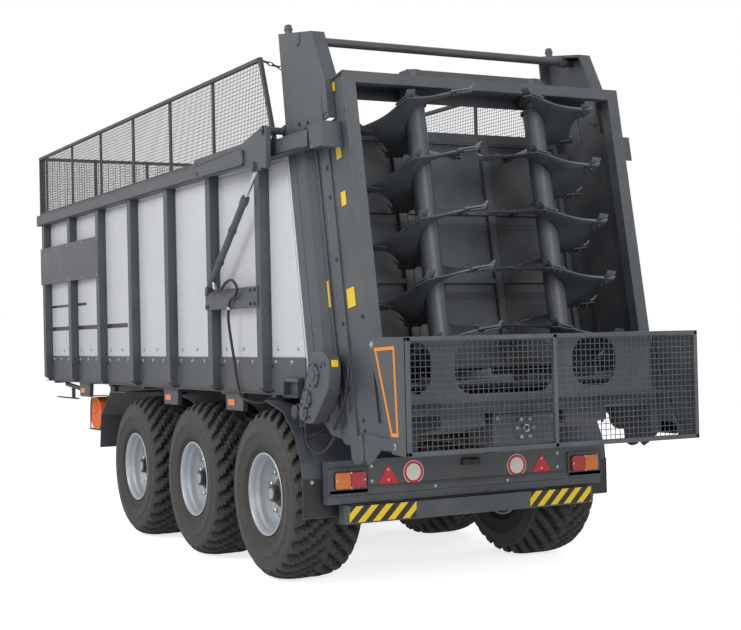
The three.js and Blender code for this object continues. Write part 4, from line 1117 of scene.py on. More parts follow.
# ---- Apron behind the guard ----
# A flat plate with large oval openings stands close behind the spreading discs, on an angle that is
# fixed across the swinging guard. The gearbox that drives the discs sits below it, in the middle.
APRON_X = -0.858
APRON_RIGHT = -0.83
APRON_END = 1.09
APRON_LOW = 1.322
APRON_HIGH = 1.716
APRON_SHEET = 0.006


def oval(y, z, half_y, half_z, corner, steps=8):
    """A rounded opening's outline as [y, z] pairs, anticlockwise."""
    points = []
    for ky, kz, start in ((1, 1, 0), (-1, 1, 1), (-1, -1, 2), (1, -1, 3)):
        for i in range(steps + 1):
            a = math.pi / 2 * (start + i / steps)
            points.append(
                (
                    y + ky * (half_y - corner) + corner * math.cos(a),
                    z + kz * (half_z - corner) + corner * math.sin(a)
                )
            )
    return points


def pierced_plate(shape, x, thickness, y0, y1, z0, z1, holes):
    """A flat plate across the machine, pierced by openings that lie side by side along Y."""
    holes = sorted(holes, key=lambda h: min(p[0] for p in h))
    cuts = [y0] + [(max(p[0] for p in a) + min(p[0] for p in b)) / 2 for a, b in zip(holes, holes[1:])] + [y1]
    for hole, low, high in zip(holes, cuts, cuts[1:]):
        level = sum(p[1] for p in hole) / len(hole)
        left_edge = min(p[0] for p in hole)
        right_edge = max(p[0] for p in hole)
        for half in (1, -1):
            arc = sorted((p for p in hole if (p[1] - level) * half >= -1e-9), key=lambda p: -p[0])
            edge = z1 if half > 0 else z0
            outline = [(low, edge), (high, edge)]
            outline += [(high, level), (right_edge, level)] + arc + [(left_edge, level), (low, level)]
            shape.prism([at(x, y, z) for y, z in outline], (thickness, 0, 0))


apron = Shape()
holes = [oval(y, z, half, 0.5 * (1.691 - low), 0.126) for y, z, half, low in (
    (-0.373, 1.5325, 0.176, 1.374), (0.328, 1.5215, 0.375, 1.352), (0.976, 1.5265, 0.102, 1.362)
)]
pierced_plate(apron, APRON_X, APRON_SHEET, APRON_RIGHT, APRON_END, APRON_LOW, APRON_HIGH, holes)
apron.box(at(APRON_X, -APRON_END, 1.310), at(APRON_X + 0.06, APRON_END, APRON_LOW + 0.0005))
apron.piece("apron_plate", GREY_PAINT, "rear_guard", bevel=0.0015)
gear = Shape()
gear.box(at(-0.60, -0.25, 0.99), at(-0.30, 0.27, 1.20))
gear.prism(
    [at(-0.60, y, z) for y, z in ((-0.25, 1.20), (0.27, 1.20), (0.20, 1.27), (-0.18, 1.27))],
    (0.28, 0, 0)
)
gear.turned(at(-0.60, 0.02, 1.10), (-1, 0, 0), [(0, 0), (0.085, 0), (0.080, 0.016), (0, 0.016)], 36)
gear.piece("gearbox_cover", DARK_PAINT, bevel=0.008)
bolts(
    "gearbox_cover_bolts",
    [
        (
            at(
                -0.616, 0.02 + 0.066 * math.cos(k * math.pi / 3),
                1.10 + 0.066 * math.sin(k * math.pi / 3)
            ),
            (-1, 0, 0)
        )
        for k in range(6)
    ]
    + [(at(-0.60, y, 1.17), (-1, 0, 0)) for y in (-0.21, 0.23)],
    0.009,
)
ring = [
    at(-0.622 - 0.004, 0.02 + 0.022 * math.sin(a), 1.10 + 0.022 * math.cos(a))
    for a in [2 * math.pi * i / 20 for i in range(21)]
]
rods("eye_bolt", [ring], 0.006, BRIGHT_STEEL, sides=10)

# ---- Rear guard ----
# A hinged frame of square tube filled with welded wire mesh, between two cut steel cheeks.
# It swings up about bright bolts low at its front; an orange line is painted round each cheek.
GUARD_LOW, GUARD_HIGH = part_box("rear_guard")
GUARD_X = -0.985
GUARD_HALF = GUARD_HIGH.y
GUARD_BOTTOM = GUARD_LOW.z
GUARD_TOP = GUARD_HIGH.z
GUARD_TUBE = 0.030
GUARD_PITCH = 0.0375
GUARD_WIRE = 0.0028
GUARD_PIVOT = (-0.833, 1.048)

frame_bars = Shape()
half = GUARD_TUBE / 2
inner_half = GUARD_HALF - 0.006
for z in (GUARD_BOTTOM, GUARD_TOP - GUARD_TUBE):
    frame_bars.box(at(GUARD_X - half, -GUARD_HALF, z), at(GUARD_X + half, GUARD_HALF, z + GUARD_TUBE))
for y in (GUARD_HALF - GUARD_TUBE, -GUARD_HALF, 0.037 - half):
    frame_bars.box(
        at(GUARD_X - half, y, GUARD_BOTTOM + 0.002),
        at(GUARD_X + half, y + GUARD_TUBE, GUARD_TOP - 0.002)
    )
guard_frame = frame_bars.piece("guard_tube_frame", GREY_PAINT, "rear_guard", bevel=0.004)
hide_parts("rear_guard")
cheek_outline = [
    (GUARD_X, GUARD_BOTTOM),
    (GUARD_PIVOT[0] + 0.040, GUARD_BOTTOM + 0.008),
    (GUARD_PIVOT[0] + 0.052, GUARD_BOTTOM + 0.070),
    (-0.523, GUARD_TOP - 0.090),
    (-0.523, GUARD_TOP),
    (GUARD_X, GUARD_TOP),
]
cheeks = Shape()
for side_name, side in SIDES:
    cheeks.prism([at(x, side * inner_half, z) for x, z in cheek_outline], (0, side * 0.006, 0))
    cheeks.box(
        at(GUARD_X, side * (inner_half - 0.014), GUARD_TOP - 0.006),
        at(-0.523, side * inner_half, GUARD_TOP)
    )
cheeks.piece("guard_cheeks", GREY_PAINT, "rear_guard", bevel=0.0015)

wires = []
low_z, high_z = GUARD_BOTTOM + 0.02, GUARD_TOP - 0.02
for i in range(1, int((high_z - low_z) / GUARD_PITCH) + 1):
    z = low_z + i * GUARD_PITCH
    wires.append(
        [
            at(GUARD_X - GUARD_WIRE, -GUARD_HALF + 0.02, z),
            at(GUARD_X - GUARD_WIRE, GUARD_HALF - 0.02, z)
        ]
    )
for i in range(1, int(2 * (GUARD_HALF - 0.02) / GUARD_PITCH) + 1):
    y = i * GUARD_PITCH - GUARD_HALF + 0.02
    wires.append([at(GUARD_X + GUARD_WIRE, y, low_z), at(GUARD_X + GUARD_WIRE, y, high_z)])
rods("guard_wires", wires, GUARD_WIRE, GREY_PAINT, sides=6, body="rear_guard")

ORANGE_OUTLINE = [(-0.590, 1.655), (-0.851, 1.666), (-0.881, 1.110), (-0.792, 1.107)]


def outline_band(shape, outline, y, lift, width):
    """A painted band of even width just inside a closed outline."""
    count = len(outline)
    middle = (sum(p[0] for p in outline) / count, sum(p[1] for p in outline) / count)
    inner = []
    for i in range(count):
        a, b, c = (Vector(outline[(i + k) % count]) for k in (-1, 0, 1))
        first, second = (b - a).normalized(), (c - b).normalized()
        bisector = (second - first).normalized()
        sine = abs(bisector.x * second.y - bisector.y * second.x)
        toward = 1 if bisector.dot(Vector(middle) - b) > 0 else -1
        inner.append(b + bisector * toward * width / max(sine, 0.2))
    for i in range(count):
        j = (i + 1) % count
        quad = [outline[i], outline[j], inner[j], inner[i]]
        shape.prism([at(x, y, z) for x, z in quad], lift)


backing = Shape()
backing_outline = [
    (-0.500, 1.715), (-0.480, 1.60), (-0.575, 1.01), (-0.800, 1.01), (-0.800, 1.075), (-0.548, 1.650),
    (-0.548, 1.715)
]
for side_name, side in SIDES:
    backing.prism([at(x, side * (CHEEK_Y - 0.006), z) for x, z in backing_outline], (0, side * 0.0055, 0))
backing.piece("guard_backing_plates", GREY_PAINT, bevel=0.0015)
band = Shape()
for side_name, side in SIDES:
    outline_band(band, ORANGE_OUTLINE, side * GUARD_HALF, (0, side * 0.0008, 0), 0.021)
band.piece("orange_guard_lines", ORANGE_LINE, "rear_guard")
hinge = []
for side_name, side in SIDES:
    hinge.append((at(GUARD_PIVOT[0], side * GUARD_HALF, GUARD_PIVOT[1]), (0, side, 0)))
    hinge.append((at(-0.560, side * GUARD_HALF, GUARD_TOP - 0.045), (0, side, 0)))
bolts("guard_hinge_bolts", hinge, 0.015, 0.010, body="rear_guard")


# ---- Beaters ----
# Two leaning shredding rotors: a heavy tube with a scalloped steel flight wound and welded round it.
# Forged blades are bolted on each point, and a disc with paddles spreads the manure below.
BEATER_S = 0.190
BEATER_Y = 0.490
TUBE_RADIUS = 0.072
TIP_RADIUS = 0.442
SCALLOP = 0.165
FLIGHT_PITCH = 0.405
FLIGHT_BOTTOM = 1.530
FLIGHT_TURNS = 4.6
BLADES_PER_TURN = 5
FLIGHT_STEPS = 14
FLIGHT_THICKNESS = 0.010
HUB_TOP = 1.510
TUBE_TOP = 3.392
DISC_BASE = 1.400
DISC_RADIUS = 0.470
PADDLES = 6
WORN_GREY = painted("worn_grey_paint", "#474b50", roughness=0.38, dust="#6f7073", dust_amount=0.32)


def flight_point(turn, radius, side, lift=0.0):
    angle = 2 * math.pi * turn
    y = -radius * math.sin(angle) * (-side if side > 0 else 1)
    return Vector((radius * math.cos(angle), y, FLIGHT_BOTTOM + turn * FLIGHT_PITCH + lift))


def scallop_edge(turn):
    part = (turn * BLADES_PER_TURN) % 1.0
    return TIP_RADIUS - SCALLOP * math.sin(math.pi * part) ** 0.55


def beater_flight(shape, side):
    count = round(FLIGHT_TURNS * BLADES_PER_TURN * FLIGHT_STEPS)
    rows = []
    for i in range(count + 1):
        turn = i / count * FLIGHT_TURNS
        edge = scallop_edge(turn)
        row = []
        for lift in (FLIGHT_THICKNESS / 2, -FLIGHT_THICKNESS / 2):
            radii = [TUBE_RADIUS - 0.006, TUBE_RADIUS + 0.018, 0.19, edge - 0.012, edge]
            rises = [0.026, 0.006, 0.0, 0.0, 0.007]
            cells = [flight_point(turn, r, side, lift + rise) for r, rise in zip(radii, rises)]
            row += cells if lift > 0 else list(reversed(cells))
        rows.append([shape.bm.verts.new(p) for p in row])
    for a, b in zip(rows, rows[1:]):
        for k in range(len(a)):
            m = (k + 1) % len(a)
            shape.bm.faces.new([a[k], a[m], b[m], b[k]])
    shape.bm.faces.new(rows[0])
    shape.bm.faces.new(list(reversed(rows[-1])))


def blade_frame(turn, side, radius=0.385):
    """A blade's foot on the flight, with the directions along it, across it and up from it."""
    here = flight_point(turn, radius, side)
    ahead = (flight_point(turn + 0.01, radius, side) - flight_point(turn - 0.01, radius, side)).normalized()
    outward = Vector((here.x, here.y, 0)).normalized()
    along = (outward * 0.78 + ahead * 0.62).normalized()
    normal = ahead.cross(outward).normalized()
    if normal.z < 0:
        normal = -normal
    across = normal.cross(along).normalized()
    return here, along, across, normal


def beater(label, side):
    body = f"beater_{label}"
    rotor = UNIT @ Matrix.Translation((BEATER_S, side * BEATER_Y, 0))
    main = Shape()
    main.turned(
        (0, 0, 0),
        (0, 0, 1),
        [
            (0, HUB_TOP), (0.095, HUB_TOP), (0.095, HUB_TOP + 0.018), (TUBE_RADIUS, HUB_TOP + 0.022),
            (TUBE_RADIUS, TUBE_TOP - 0.02), (0.088, TUBE_TOP - 0.018), (0.088, TUBE_TOP),
            (0.045, TUBE_TOP + 0.002), (0.045, 3.4515), (0, 3.4515)
        ],
        40,
    )
    beater_flight(main, side)
    winding = main.piece(f"scalloped_flight_{label}", WORN_GREY, body, smooth=32, place=rotor)
    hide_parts(f"beater_{label}")

    blades = Shape()
    heads = []
    for i in range(1, int(FLIGHT_TURNS * BLADES_PER_TURN) + 1):
        turn = i / BLADES_PER_TURN
        if turn > FLIGHT_TURNS:
            break
        foot, along, across, up = blade_frame(turn, side)
        base = foot + up * (FLIGHT_THICKNESS / 2 - 0.002)
        profile = [
            (-0.110, 0.0), (0.022, 0.0), (0.052, 0.016), (0.066, 0.036), (0.054, 0.038), (0.036, 0.022),
            (0.014, 0.0125), (-0.110, 0.0125)
        ]
        blades.prism([base + along * a + up * h - across * 0.033 for a, h in profile], across * 0.066)
        blades.prism(
            [
                foot + along * a - across * c - up * 0.005
                for a, c in ((-0.085, -0.04), (0.035, -0.03), (0.040, 0.03), (-0.075, 0.045))
            ],
            -up * 0.008,
        )
        for a in (-0.084, -0.020):
            heads.append((rotor @ (base + along * a + up * 0.0125), rotor.to_3x3() @ up))
            heads.append((rotor @ (foot + along * a - up * 0.013), rotor.to_3x3() @ -up))
    blades.piece(f"bolted_blades_{label}", WORN_GREY, body, bevel=0.002, place=rotor)
    bolts(f"blade_bolts_{label}", heads, 0.011, 0.009, material=DARK_STEEL, body=body)

    spreader = Shape()
    spreader.turned(
        (0, 0, 0),
        (0, 0, 1),
        [
            (0, DISC_BASE), (DISC_RADIUS - 0.004, DISC_BASE), (DISC_RADIUS, DISC_BASE + 0.004),
            (DISC_RADIUS - 0.003, DISC_BASE + 0.012), (0.16, DISC_BASE + 0.012),
            (0.15, DISC_BASE + 0.022), (0.08, DISC_BASE + 0.024), (0.08, HUB_TOP - 0.012),
            (0.07, HUB_TOP), (0, HUB_TOP)
        ],
        72,
    )
    studs = []
    for k in range(PADDLES):
        turn = Matrix.Rotation(2 * math.pi * k / PADDLES, 3, "Z")
        inner, outer = [], []
        for i in range(9):
            share = i / 8
            radius = 0.155 + 0.3 * share
            sweep = side * 0.075 * share**2
            inner.append(turn @ Vector((radius, sweep - 0.006, DISC_BASE + 0.006)))
            outer.append(turn @ Vector((radius, sweep + 0.006, DISC_BASE + 0.006)))
        spreader.prism(inner + outer[::-1], (0, 0, 0.080))
        foot = [
            turn @ Vector(p)
            for p in (
                (0.20, -0.002, DISC_BASE + 0.010), (0.42, side * 0.05, DISC_BASE + 0.010),
                (0.42, side * 0.05 - 0.05, DISC_BASE + 0.010), (0.20, -0.05, DISC_BASE + 0.010)
            )
        ]
        spreader.prism(foot, (0, 0, 0.007))
        for radius in (0.24, 0.37):
            studs.append(
                (
                    rotor @ (turn @ Vector((radius, -0.024, DISC_BASE + 0.017))),
                    rotor.to_3x3() @ Vector((0, 0, 1))
                )
            )
    plate = spreader.piece(f"paddle_disc_{label}", WORN_GREY, body, bevel=0.0015, place=rotor)
    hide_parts(f"spinner_disc_{label}")
    bolts(f"paddle_bolts_{label}", studs, 0.010, 0.007, material=DARK_STEEL, body=body)


for side_name, side in SIDES:
    beater(side_name, side)

# ---- Light beam and bumper ----
# A folded steel beam across the rear carries the lamps on raised trays, with a blank round sign and
# a red triangle on each side. A second beam below it is the bumper, with warning stripes at its ends.
BEAM_X = 0.116
BUMPER_X = 0.080
LENS_LOOKS = (("amber", "#f07d12", 0.973, 1.086), ("red", "#c3181d", 0.856, 0.970))


def lens_plastic(name, colour):
    """Moulded acrylic lamp lens: glossy, with fine vertical ribs."""
    material = new_material(name)
    coords = put(material, "ShaderNodeTexCoord")
    ribs = put(
        material, "ShaderNodeTexWave", [
            ("Vector", coords.outputs["Object"])
        ], Scale=1000 / (7 * 2 * math.pi), bands_direction="Y"
    )
    grid = put(
        material, "ShaderNodeTexWave", [
            ("Vector", coords.outputs["Object"])
        ], Scale=1000 / (10 * 2 * math.pi), bands_direction="Z"
    )
    both = put(
        material, "ShaderNodeMath", [(0, ribs.outputs["Fac"]), (1, grid.outputs["Fac"])],
        operation="ADD"
    )
    # The lens colour turns darker along the rib waves: painted shade between the ribs.
    tint = put(material, "ShaderNodeMix", [("Factor", ribs.outputs["Fac"])], data_type="RGBA")
    tint.inputs[6].default_value = linear(colour)
    tint.inputs[7].default_value = [c * 0.6 for c in linear(colour)[:3]] + [1.0]
    bump = put(material, "ShaderNodeBump", [("Height", both.outputs[0])], Strength=0.5, Distance=0.002)
    shader = put(
        material,
        "ShaderNodeBsdfPrincipled",
        [("Base Color", tint.outputs[2]), ("Normal", bump.outputs[0])],
        Roughness=0.16,
        IOR=1.49,
        Coat_Weight=0.5,
    )
    put(material, "ShaderNodeOutputMaterial", [("Surface", shader.outputs[0])])
    return material


SIGN_RED = painted(
    "red_reflective_foil", "#d01f26", roughness=0.25, dust="#a04a45", dust_amount=0.12, peel=0.0003
)
SIGN_WHITE = painted(
    "white_reflective_foil", "#dfddd2", roughness=0.3, dust="#b9b5a6", dust_amount=0.2, peel=0.0003
)
LENSES = {name: lens_plastic(f"{name}_lamp_lens", colour) for name, colour, _, _ in LENS_LOOKS}

beam = Shape()
beam.prism(
    [at(x, -1.131, z) for x, z in ((BEAM_X, 0.716), (0.104, 0.694), (0.104, 0.655), (BEAM_X, 0.648))],
    (0, 2.262, 0)
)
beam.box(at(0.112, -1.131, 0.870), at(0.192, 1.131, 0.893))
for side_name, side in SIDES:
    beam.box(at(0.098, side * 0.828, 0.664), at(BEAM_X, side * 1.1315, 0.672))
    beam.box(at(0.098, side * 0.828, 0.836), at(BEAM_X, side * 1.1315, 0.844))
    beam.box(at(0.098, side * 0.828, 0.664), at(BEAM_X, side * 0.836, 0.844))
    beam.box(at(0.098, side * 1.1235, 0.664), at(BEAM_X, side * 1.1315, 0.844))
    beam.box(at(0.104, side * 0.832, 0.668), at(BEAM_X, side * 1.127, 0.840))
beam.box(at(BUMPER_X, -1.0, 0.583), at(0.12, 1.0, 0.594))
beam.piece("beam_folds_and_lamp_trays", GREY_PAINT, bevel=0.002)
camera_box = Shape()
camera_box.box(at(0.088, -0.066, 0.806), at(BEAM_X, 0.080, 0.852))
camera_box.box(at(0.082, -0.050, 0.812), at(0.090, 0.010, 0.846))
camera_box.piece("number_plate_lamp", BLACK_FOIL, bevel=0.004)
beam_bolts = []
for y in (0.795, -0.746):
    beam_bolts += [(at(BEAM_X, y, z), (-1, 0, 0)) for z in (0.742, 0.842)]
beam_bolts += [(at(0.104, y, 0.676), (-1, 0, 0)) for y in (-0.30, 0.30)]
bolts("beam_rivets", beam_bolts, 0.008, 0.005, 12)

for side_name, side in SIDES:
    base = Shape()
    outline = oval(side * 0.971, 0.760, 0.118, 0.058, 0.016, 5)
    base.prism([at(0.1035, y, z) for y, z in outline], (-0.010, 0, 0))
    base.piece(f"lamp_base_{side_name}", BLACK_FOIL, bevel=0.002)
    screws = [
        (at(0.0785, side * y, z), (-1, 0, 0))
        for y, z in ((0.971, 0.811), (0.971, 0.709), (0.866, 0.760), (1.078, 0.760))
    ]
    for number, (name, colour, y0, y1) in enumerate(LENS_LOOKS):
        lens = Shape()
        middle, half = side * (y0 + y1) / 2, (y1 - y0) / 2
        outline = oval(middle, 0.760, half, 0.055, 0.013, 6)
        lens.prism([at(0.0940, y, z) for y, z in outline], (-0.0155, 0, 0))
        glass = lens.piece(f"{name}_lens_{side_name}", LENSES[name], bevel=0.004, segments=3)
        if name == "red":
            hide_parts(f"tail_light_{side_name}")
    bolts(f"lens_screws_{side_name}", screws, 0.0055, 0.003, 10)

signs = Shape()
whites = Shape()
sign_rivets = []
for y in (0.667, -0.603):
    triangle = [(y - 0.080, 0.716), (y + 0.080, 0.716), (y, 0.852)]
    signs.prism([at(BEAM_X, a, z) for a, z in triangle], (-0.004, 0, 0))
    sign_rivets += [(at(BEAM_X - 0.004, y, z), (-1, 0, 0)) for z in (0.742, 0.812)]
for y, z in ((0.467, 0.783), (-0.388, 0.776)):
    whites.turned(at(BEAM_X, y, z), (-1, 0, 0), [(0, 0), (0.081, 0), (0.081, 0.002), (0, 0.002)], 48)
    signs.turned(
        at(BEAM_X, y, z), (-1, 0, 0),
        [(0.058, 0.0005), (0.076, 0.0005), (0.076, 0.0032), (0.058, 0.0032)], 48, closed=True
    )
signs.piece("red_triangles_and_rings", SIGN_RED, bevel=0.0008)
whites.piece("blank_round_signs", SIGN_WHITE)
bolts("triangle_rivets", sign_rivets, 0.0065, 0.003, 12)

STRIPE_LOW, STRIPE_HIGH = 0.474, 0.583
STRIPE_WIDTH = 0.058


def clipped(points, low, high):
    """The part of an outline of [u, z] pairs that lies between u = low and u = high."""
    for limit, sign in ((low, 1), (high, -1)):
        kept = []
        for i, here in enumerate(points):
            before = points[i - 1]
            inside, was_inside = sign * (here[0] - limit) >= 0, sign * (before[0] - limit) >= 0
            if inside != was_inside:
                share = (limit - before[0]) / (here[0] - before[0])
                kept.append((limit, before[1] + share * (here[1] - before[1])))
            if inside:
                kept.append(here)
        points = kept
    return points


yellow_plates, black_bars = Shape(), Shape()
for start, end in ((-0.990, -0.470), (0.475, 1.012)):
    yellow_plates.box(at(BUMPER_X - 0.002, -start, STRIPE_LOW), at(BUMPER_X, -end, STRIPE_HIGH))
    for i in range(-1, 6):
        u = start + i * 2 * STRIPE_WIDTH
        slant = STRIPE_HIGH - STRIPE_LOW
        bar = [
            (u, STRIPE_LOW), (u + STRIPE_WIDTH, STRIPE_LOW), (u + STRIPE_WIDTH + slant, STRIPE_HIGH),
            (u + slant, STRIPE_HIGH)
        ]
        bar = clipped(bar, start + 0.001, end - 0.001)
        if len(bar) > 2:
            black_bars.prism([at(BUMPER_X - 0.001, -a, z) for a, z in bar], (-0.0018, 0, 0))
yellow_plates.piece("yellow_warning_plates", YELLOW_FOIL, bevel=0.0005)
black_bars.piece("black_warning_bars", BLACK_FOIL)


# ---- Gate towers and tie ----
# Tapered folded towers stand on the sides and guide the gate; a long tube ties their tops together.
# Dark bolts hold each tower's foot, and a round cap closes the gate's upper stop.
TIE_T = 3.933
TIE_S = 0.530
for side_name, side in SIDES:
    tower = Shape()
    foot = [(0.250, 3.262), (0.620, 3.262), (0.620, 3.430), (0.250, 3.430)]
    tower.prism([(s, side * WALL_Y, t) for s, t in foot], (0, side * 0.008, 0))
    end = [(0.112, 3.045), (0.302, 3.078), (0.302, 3.232), (0.112, 3.200)]
    tower.prism([(s, side * (CHEEK_Y + 0.002), t) for s, t in end], (0, side * 0.148, 0))
    cap = [(0.104, 3.035), (0.112, 3.035), (0.112, 3.212), (0.104, 3.212)]
    tower.prism([(s, side * (CHEEK_Y + 0.001), t) for s, t in cap], (0, side * 0.153, 0))
    rear_plate = [(0.172, 3.300), (0.300, 3.300), (0.480, 3.640), (0.172, 3.545)]
    tower.prism([(s, side * WALL_Y, t) for s, t in rear_plate], (0, side * 0.004, 0))
    tower.turned(
        (0.740, side * 1.115, 4.085), (0, 0, 1),
        [
            (0, 0), (0.031, 0), (0.031, 0.012), (0.026, 0.018), (0.026, 0.034), (0.018, 0.040),
            (0, 0.040)
        ],
        32
    )
    tower.turned(
        (TIE_S, side * 1.10, TIE_T), (0, side, 0),
        [(0.028, -0.07), (0.040, -0.07), (0.040, 0.0), (0.028, 0.0)], 32, closed=True
    )
    tower.turned(
        (TIE_S, side * 1.158, TIE_T), (0, side, 0),
        [(0, 0), (0.048, 0), (0.048, 0.008), (0.036, 0.010), (0, 0.010)], 32
    )
    tower.piece(f"tower_foot_and_collars_{side_name}", GREY_PAINT, bevel=0.003, place=UNIT)
    out = unit_turned((0, side, 0))
    places = ((0.605, 3.350), (0.600, 3.285), (0.480, 3.320), (0.520, 3.285))
    bolts(
        f"tower_bolts_{side_name}", [(in_unit(s, side * (WALL_Y + 0.008), t), out) for s, t in places],
        0.013, 0.010, material=DARK_STEEL
    )

# ---- Slurry gate ----
# A ribbed steel door that slides up between the towers on shoes; its ribs show through the mouth.
# Each rib is a folded channel, so a narrow return lip runs along both of its edges.
gate = Shape()
GATE_BACK = 0.690
for t in (1.66, 2.16, 2.67, 3.29):
    for edge in (-0.016, 0.014):
        gate.box((GATE_BACK - 0.006, -1.0, t + edge), (GATE_BACK + 0.002, 1.0, t + edge + 0.003))
for y in (-0.375, 0.375):
    for edge in (-0.036, 0.033):
        gate.box((GATE_BACK - 0.006, y + edge, 1.64), (GATE_BACK + 0.002, y + edge + 0.003, 3.36))
gate.piece("gate_rib_lips", GREY_PAINT, "slurry_gate", place=UNIT)

# ---- Gate arms ----
# Long lift arms of thick plate on both sides, each with a pressed stiffening pocket and bossed pins.
# They turn about the front pins and lift the gate by its lugs.
ARM_PIN = (0.636, 3.186)
ROD_PIN = (0.816, 2.951)
ARM_PLATE_Y = 1.313
for side_name, side in SIDES:
    body = f"gate_arm_{side_name}"
    arm = Shape()
    face = side * ARM_PLATE_Y
    lip = [(1.960, 2.990), (1.960, 3.002), (1.000, 2.997), (1.000, 2.985)]
    arm.prism([at(x, face, z) for x, z in lip], (0, side * 0.020, 0))
    rim = [(1.960, 3.078), (1.960, 3.090), (1.130, 3.120), (1.005, 3.090), (1.005, 3.076), (1.130, 3.106)]
    arm.prism([at(x, face, z) for x, z in rim], (0, side * 0.018, 0))
    tail = [(0.548, 2.918), (0.566, 2.914), (0.556, 3.200), (0.538, 3.196)]
    arm.prism([at(x, side * 1.303, z) for x, z in tail], (0, side * 0.040, 0))
    for (x, z), radius, depth in (
        (ARM_PIVOT, 0.058, 0.016), (ARM_PIN, 0.036, 0.010), (ROD_PIN, 0.038, 0.010)
    ):
        profile = [(0.028, 0), (radius, 0), (radius, depth), (0.028, depth)]
        arm.turned(at(x, face, z), (0, side, 0), profile, 36, closed=True)
    arm.turned(
        at(ARM_PIN[0], side * 1.166, ARM_PIN[1]), (0, side, 0),
        [(0, 0), (0.026, 0), (0.026, 0.135), (0, 0.135)], 28
    )
    arm.turned(
        at(ARM_PIN[0], face, ARM_PIN[1]), (0, side, 0),
        [(0, 0), (0.020, 0), (0.020, 0.020), (0.015, 0.024), (0, 0.024)], 24
    )
    arm.turned(
        at(ROD_PIN[0], face, ROD_PIN[1]), (0, side, 0),
        [(0, 0), (0.021, 0), (0.021, 0.016), (0.016, 0.020), (0, 0.020)], 24
    )
    arm.piece(f"arm_folds_and_bosses_{side_name}", GREY_PAINT, body, bevel=0.002)
    bolts(
        f"arm_pin_bolts_{side_name}",
        [
            (at(ARM_PIN[0], face + side * 0.022, ARM_PIN[1]), (0, side, 0)),
            (at(1.90, face + side * 0.014, 3.020), (0, side, 0))
        ],
        0.010, 0.007, material=DARK_STEEL, body=body
    )

# ---- Lift cylinders ----
# Hydraulic cylinders with drawn and painted barrels, a screwed gland and a ground chrome rod.
# A steel pipe clamped along the barrel feeds the rod end.
CHROME = painted(
    "ground_chrome_rod", "#c9ccd0", roughness=0.14, dust="#8e8b86", dust_amount=0.12, peel=0.0002
)
CHROME.node_tree.nodes["Principled BSDF"].inputs["Metallic"].default_value = 1.0
CYLINDER_Y = 1.285
cylinder_line = Vector((ROD_PIN[0] - BARREL_PIN[0], 0, ROD_PIN[1] - BARREL_PIN[1])).normalized()
cylinder_side = Vector((-cylinder_line.z, 0, cylinder_line.x)) * -1
for side_name, side in SIDES:
    foot = at(BARREL_PIN[0], side * CYLINDER_Y, BARREL_PIN[1])
    barrel = Shape()
    for start, length, radius in (
        (0.060, 0.035, 0.031), (0.300, 0.022, 0.0325), (0.640, 0.022, 0.0325), (0.930, 0.052, 0.033)
    ):
        profile = [(0.024, 0), (radius, 0), (radius, length), (0.024, length)]
        barrel.turned(foot + cylinder_line * start, cylinder_line, profile, 32, closed=True)
    barrel.turned(
        foot + cylinder_line * 0.965, cylinder_line,
        [(0.0165, 0), (0.035, 0), (0.035, 0.018), (0.030, 0.022), (0.0165, 0.022)], 8, closed=True
    )
    for start in (0.310, 0.650, 0.915):
        block = foot + cylinder_line * start + cylinder_side * 0.036
        barrel.rod(block - cylinder_line * 0.013, block + cylinder_line * 0.013, 0.013, 12)
    barrel.piece(f"barrel_collars_{side_name}", GREY_PAINT, f"cylinder_barrel_{side_name}", bevel=0.0012)
    line = [
        foot + cylinder_line * d + cylinder_side * h
        for d, h in (
            (0.12, 0.030), (0.15, 0.040), (0.30, 0.042), (0.60, 0.042), (0.88, 0.042), (0.925, 0.038),
            (0.945, 0.026)
        )
    ]
    rods(
        f"feed_pipe_{side_name}", [line], 0.006, DARK_STEEL, sides=10, curved=True,
        body=f"cylinder_barrel_{side_name}"
    )
    dress(f"cylinder_rod_{side_name}", CHROME)

# ---- Lift hose ----
# A rubber hose with a spiral guard feeds the left cylinder. It loops over its bracket, is clipped to
# a post and runs down under the sill; swaged zinc fittings close its ends.
HOSE_RUBBER = painted("hose_rubber", "#1d1d1f", roughness=0.5, dust="#4f4c49", dust_amount=0.25, peel=0.0006)
HOSE_RADIUS = 0.011
HOSE_ROUTE = [
    (1.697, 1.285, 2.132),
    (1.640, 1.290, 2.100),
    (1.540, 1.294, 2.106),
    (1.440, 1.294, 2.156),
    (1.330, 1.290, 2.168),
    (1.262, 1.280, 2.108),
    (1.320, 1.272, 2.052),
    (1.420, 1.268, 2.024),
    (1.462, 1.266, 1.960),
    (1.478, 1.264, 1.870),
    (1.492, 1.240, 1.720),
    (1.500, 1.210, 1.540),
    (1.490, 1.195, 1.400),
    (1.430, 1.184, 1.290),
    (1.260, 1.110, 1.252),
    (1.110, 1.080, 1.300),
    (1.012, 1.080, 1.330),
]
hose = rods(
    "lift_hose_rubber", [[at(*p) for p in HOSE_ROUTE]], HOSE_RADIUS, HOSE_RUBBER, sides=14, curved=True
)
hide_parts("lift_hose")
fittings = Shape()
start, after = at(*HOSE_ROUTE[0]), at(*HOSE_ROUTE[1])
along_start = (after - start).normalized()
fittings.turned(
    start - along_start * 0.004, along_start,
    [(0, 0), (0.016, 0), (0.016, 0.018), (0.0135, 0.020), (0.0135, 0.055), (0, 0.055)], 16
)
fittings.rod(at(1.697, 1.285, 2.132), at(1.725, 1.285, 2.190), 0.010, 14)
clip = at(1.462, 1.266, 1.960)
fittings.turned(
    clip, (0.0, 0, 1), [(0.0105, -0.010), (0.017, -0.010), (0.017, 0.010), (0.0105, 0.010)], 20,
    closed=True
)
fittings.box(clip + Vector((-0.004, -0.030, -0.008)), clip + Vector((0.020, -0.008, 0.008)))
fittings.piece("hose_fittings", BRIGHT_STEEL, bevel=0.001)

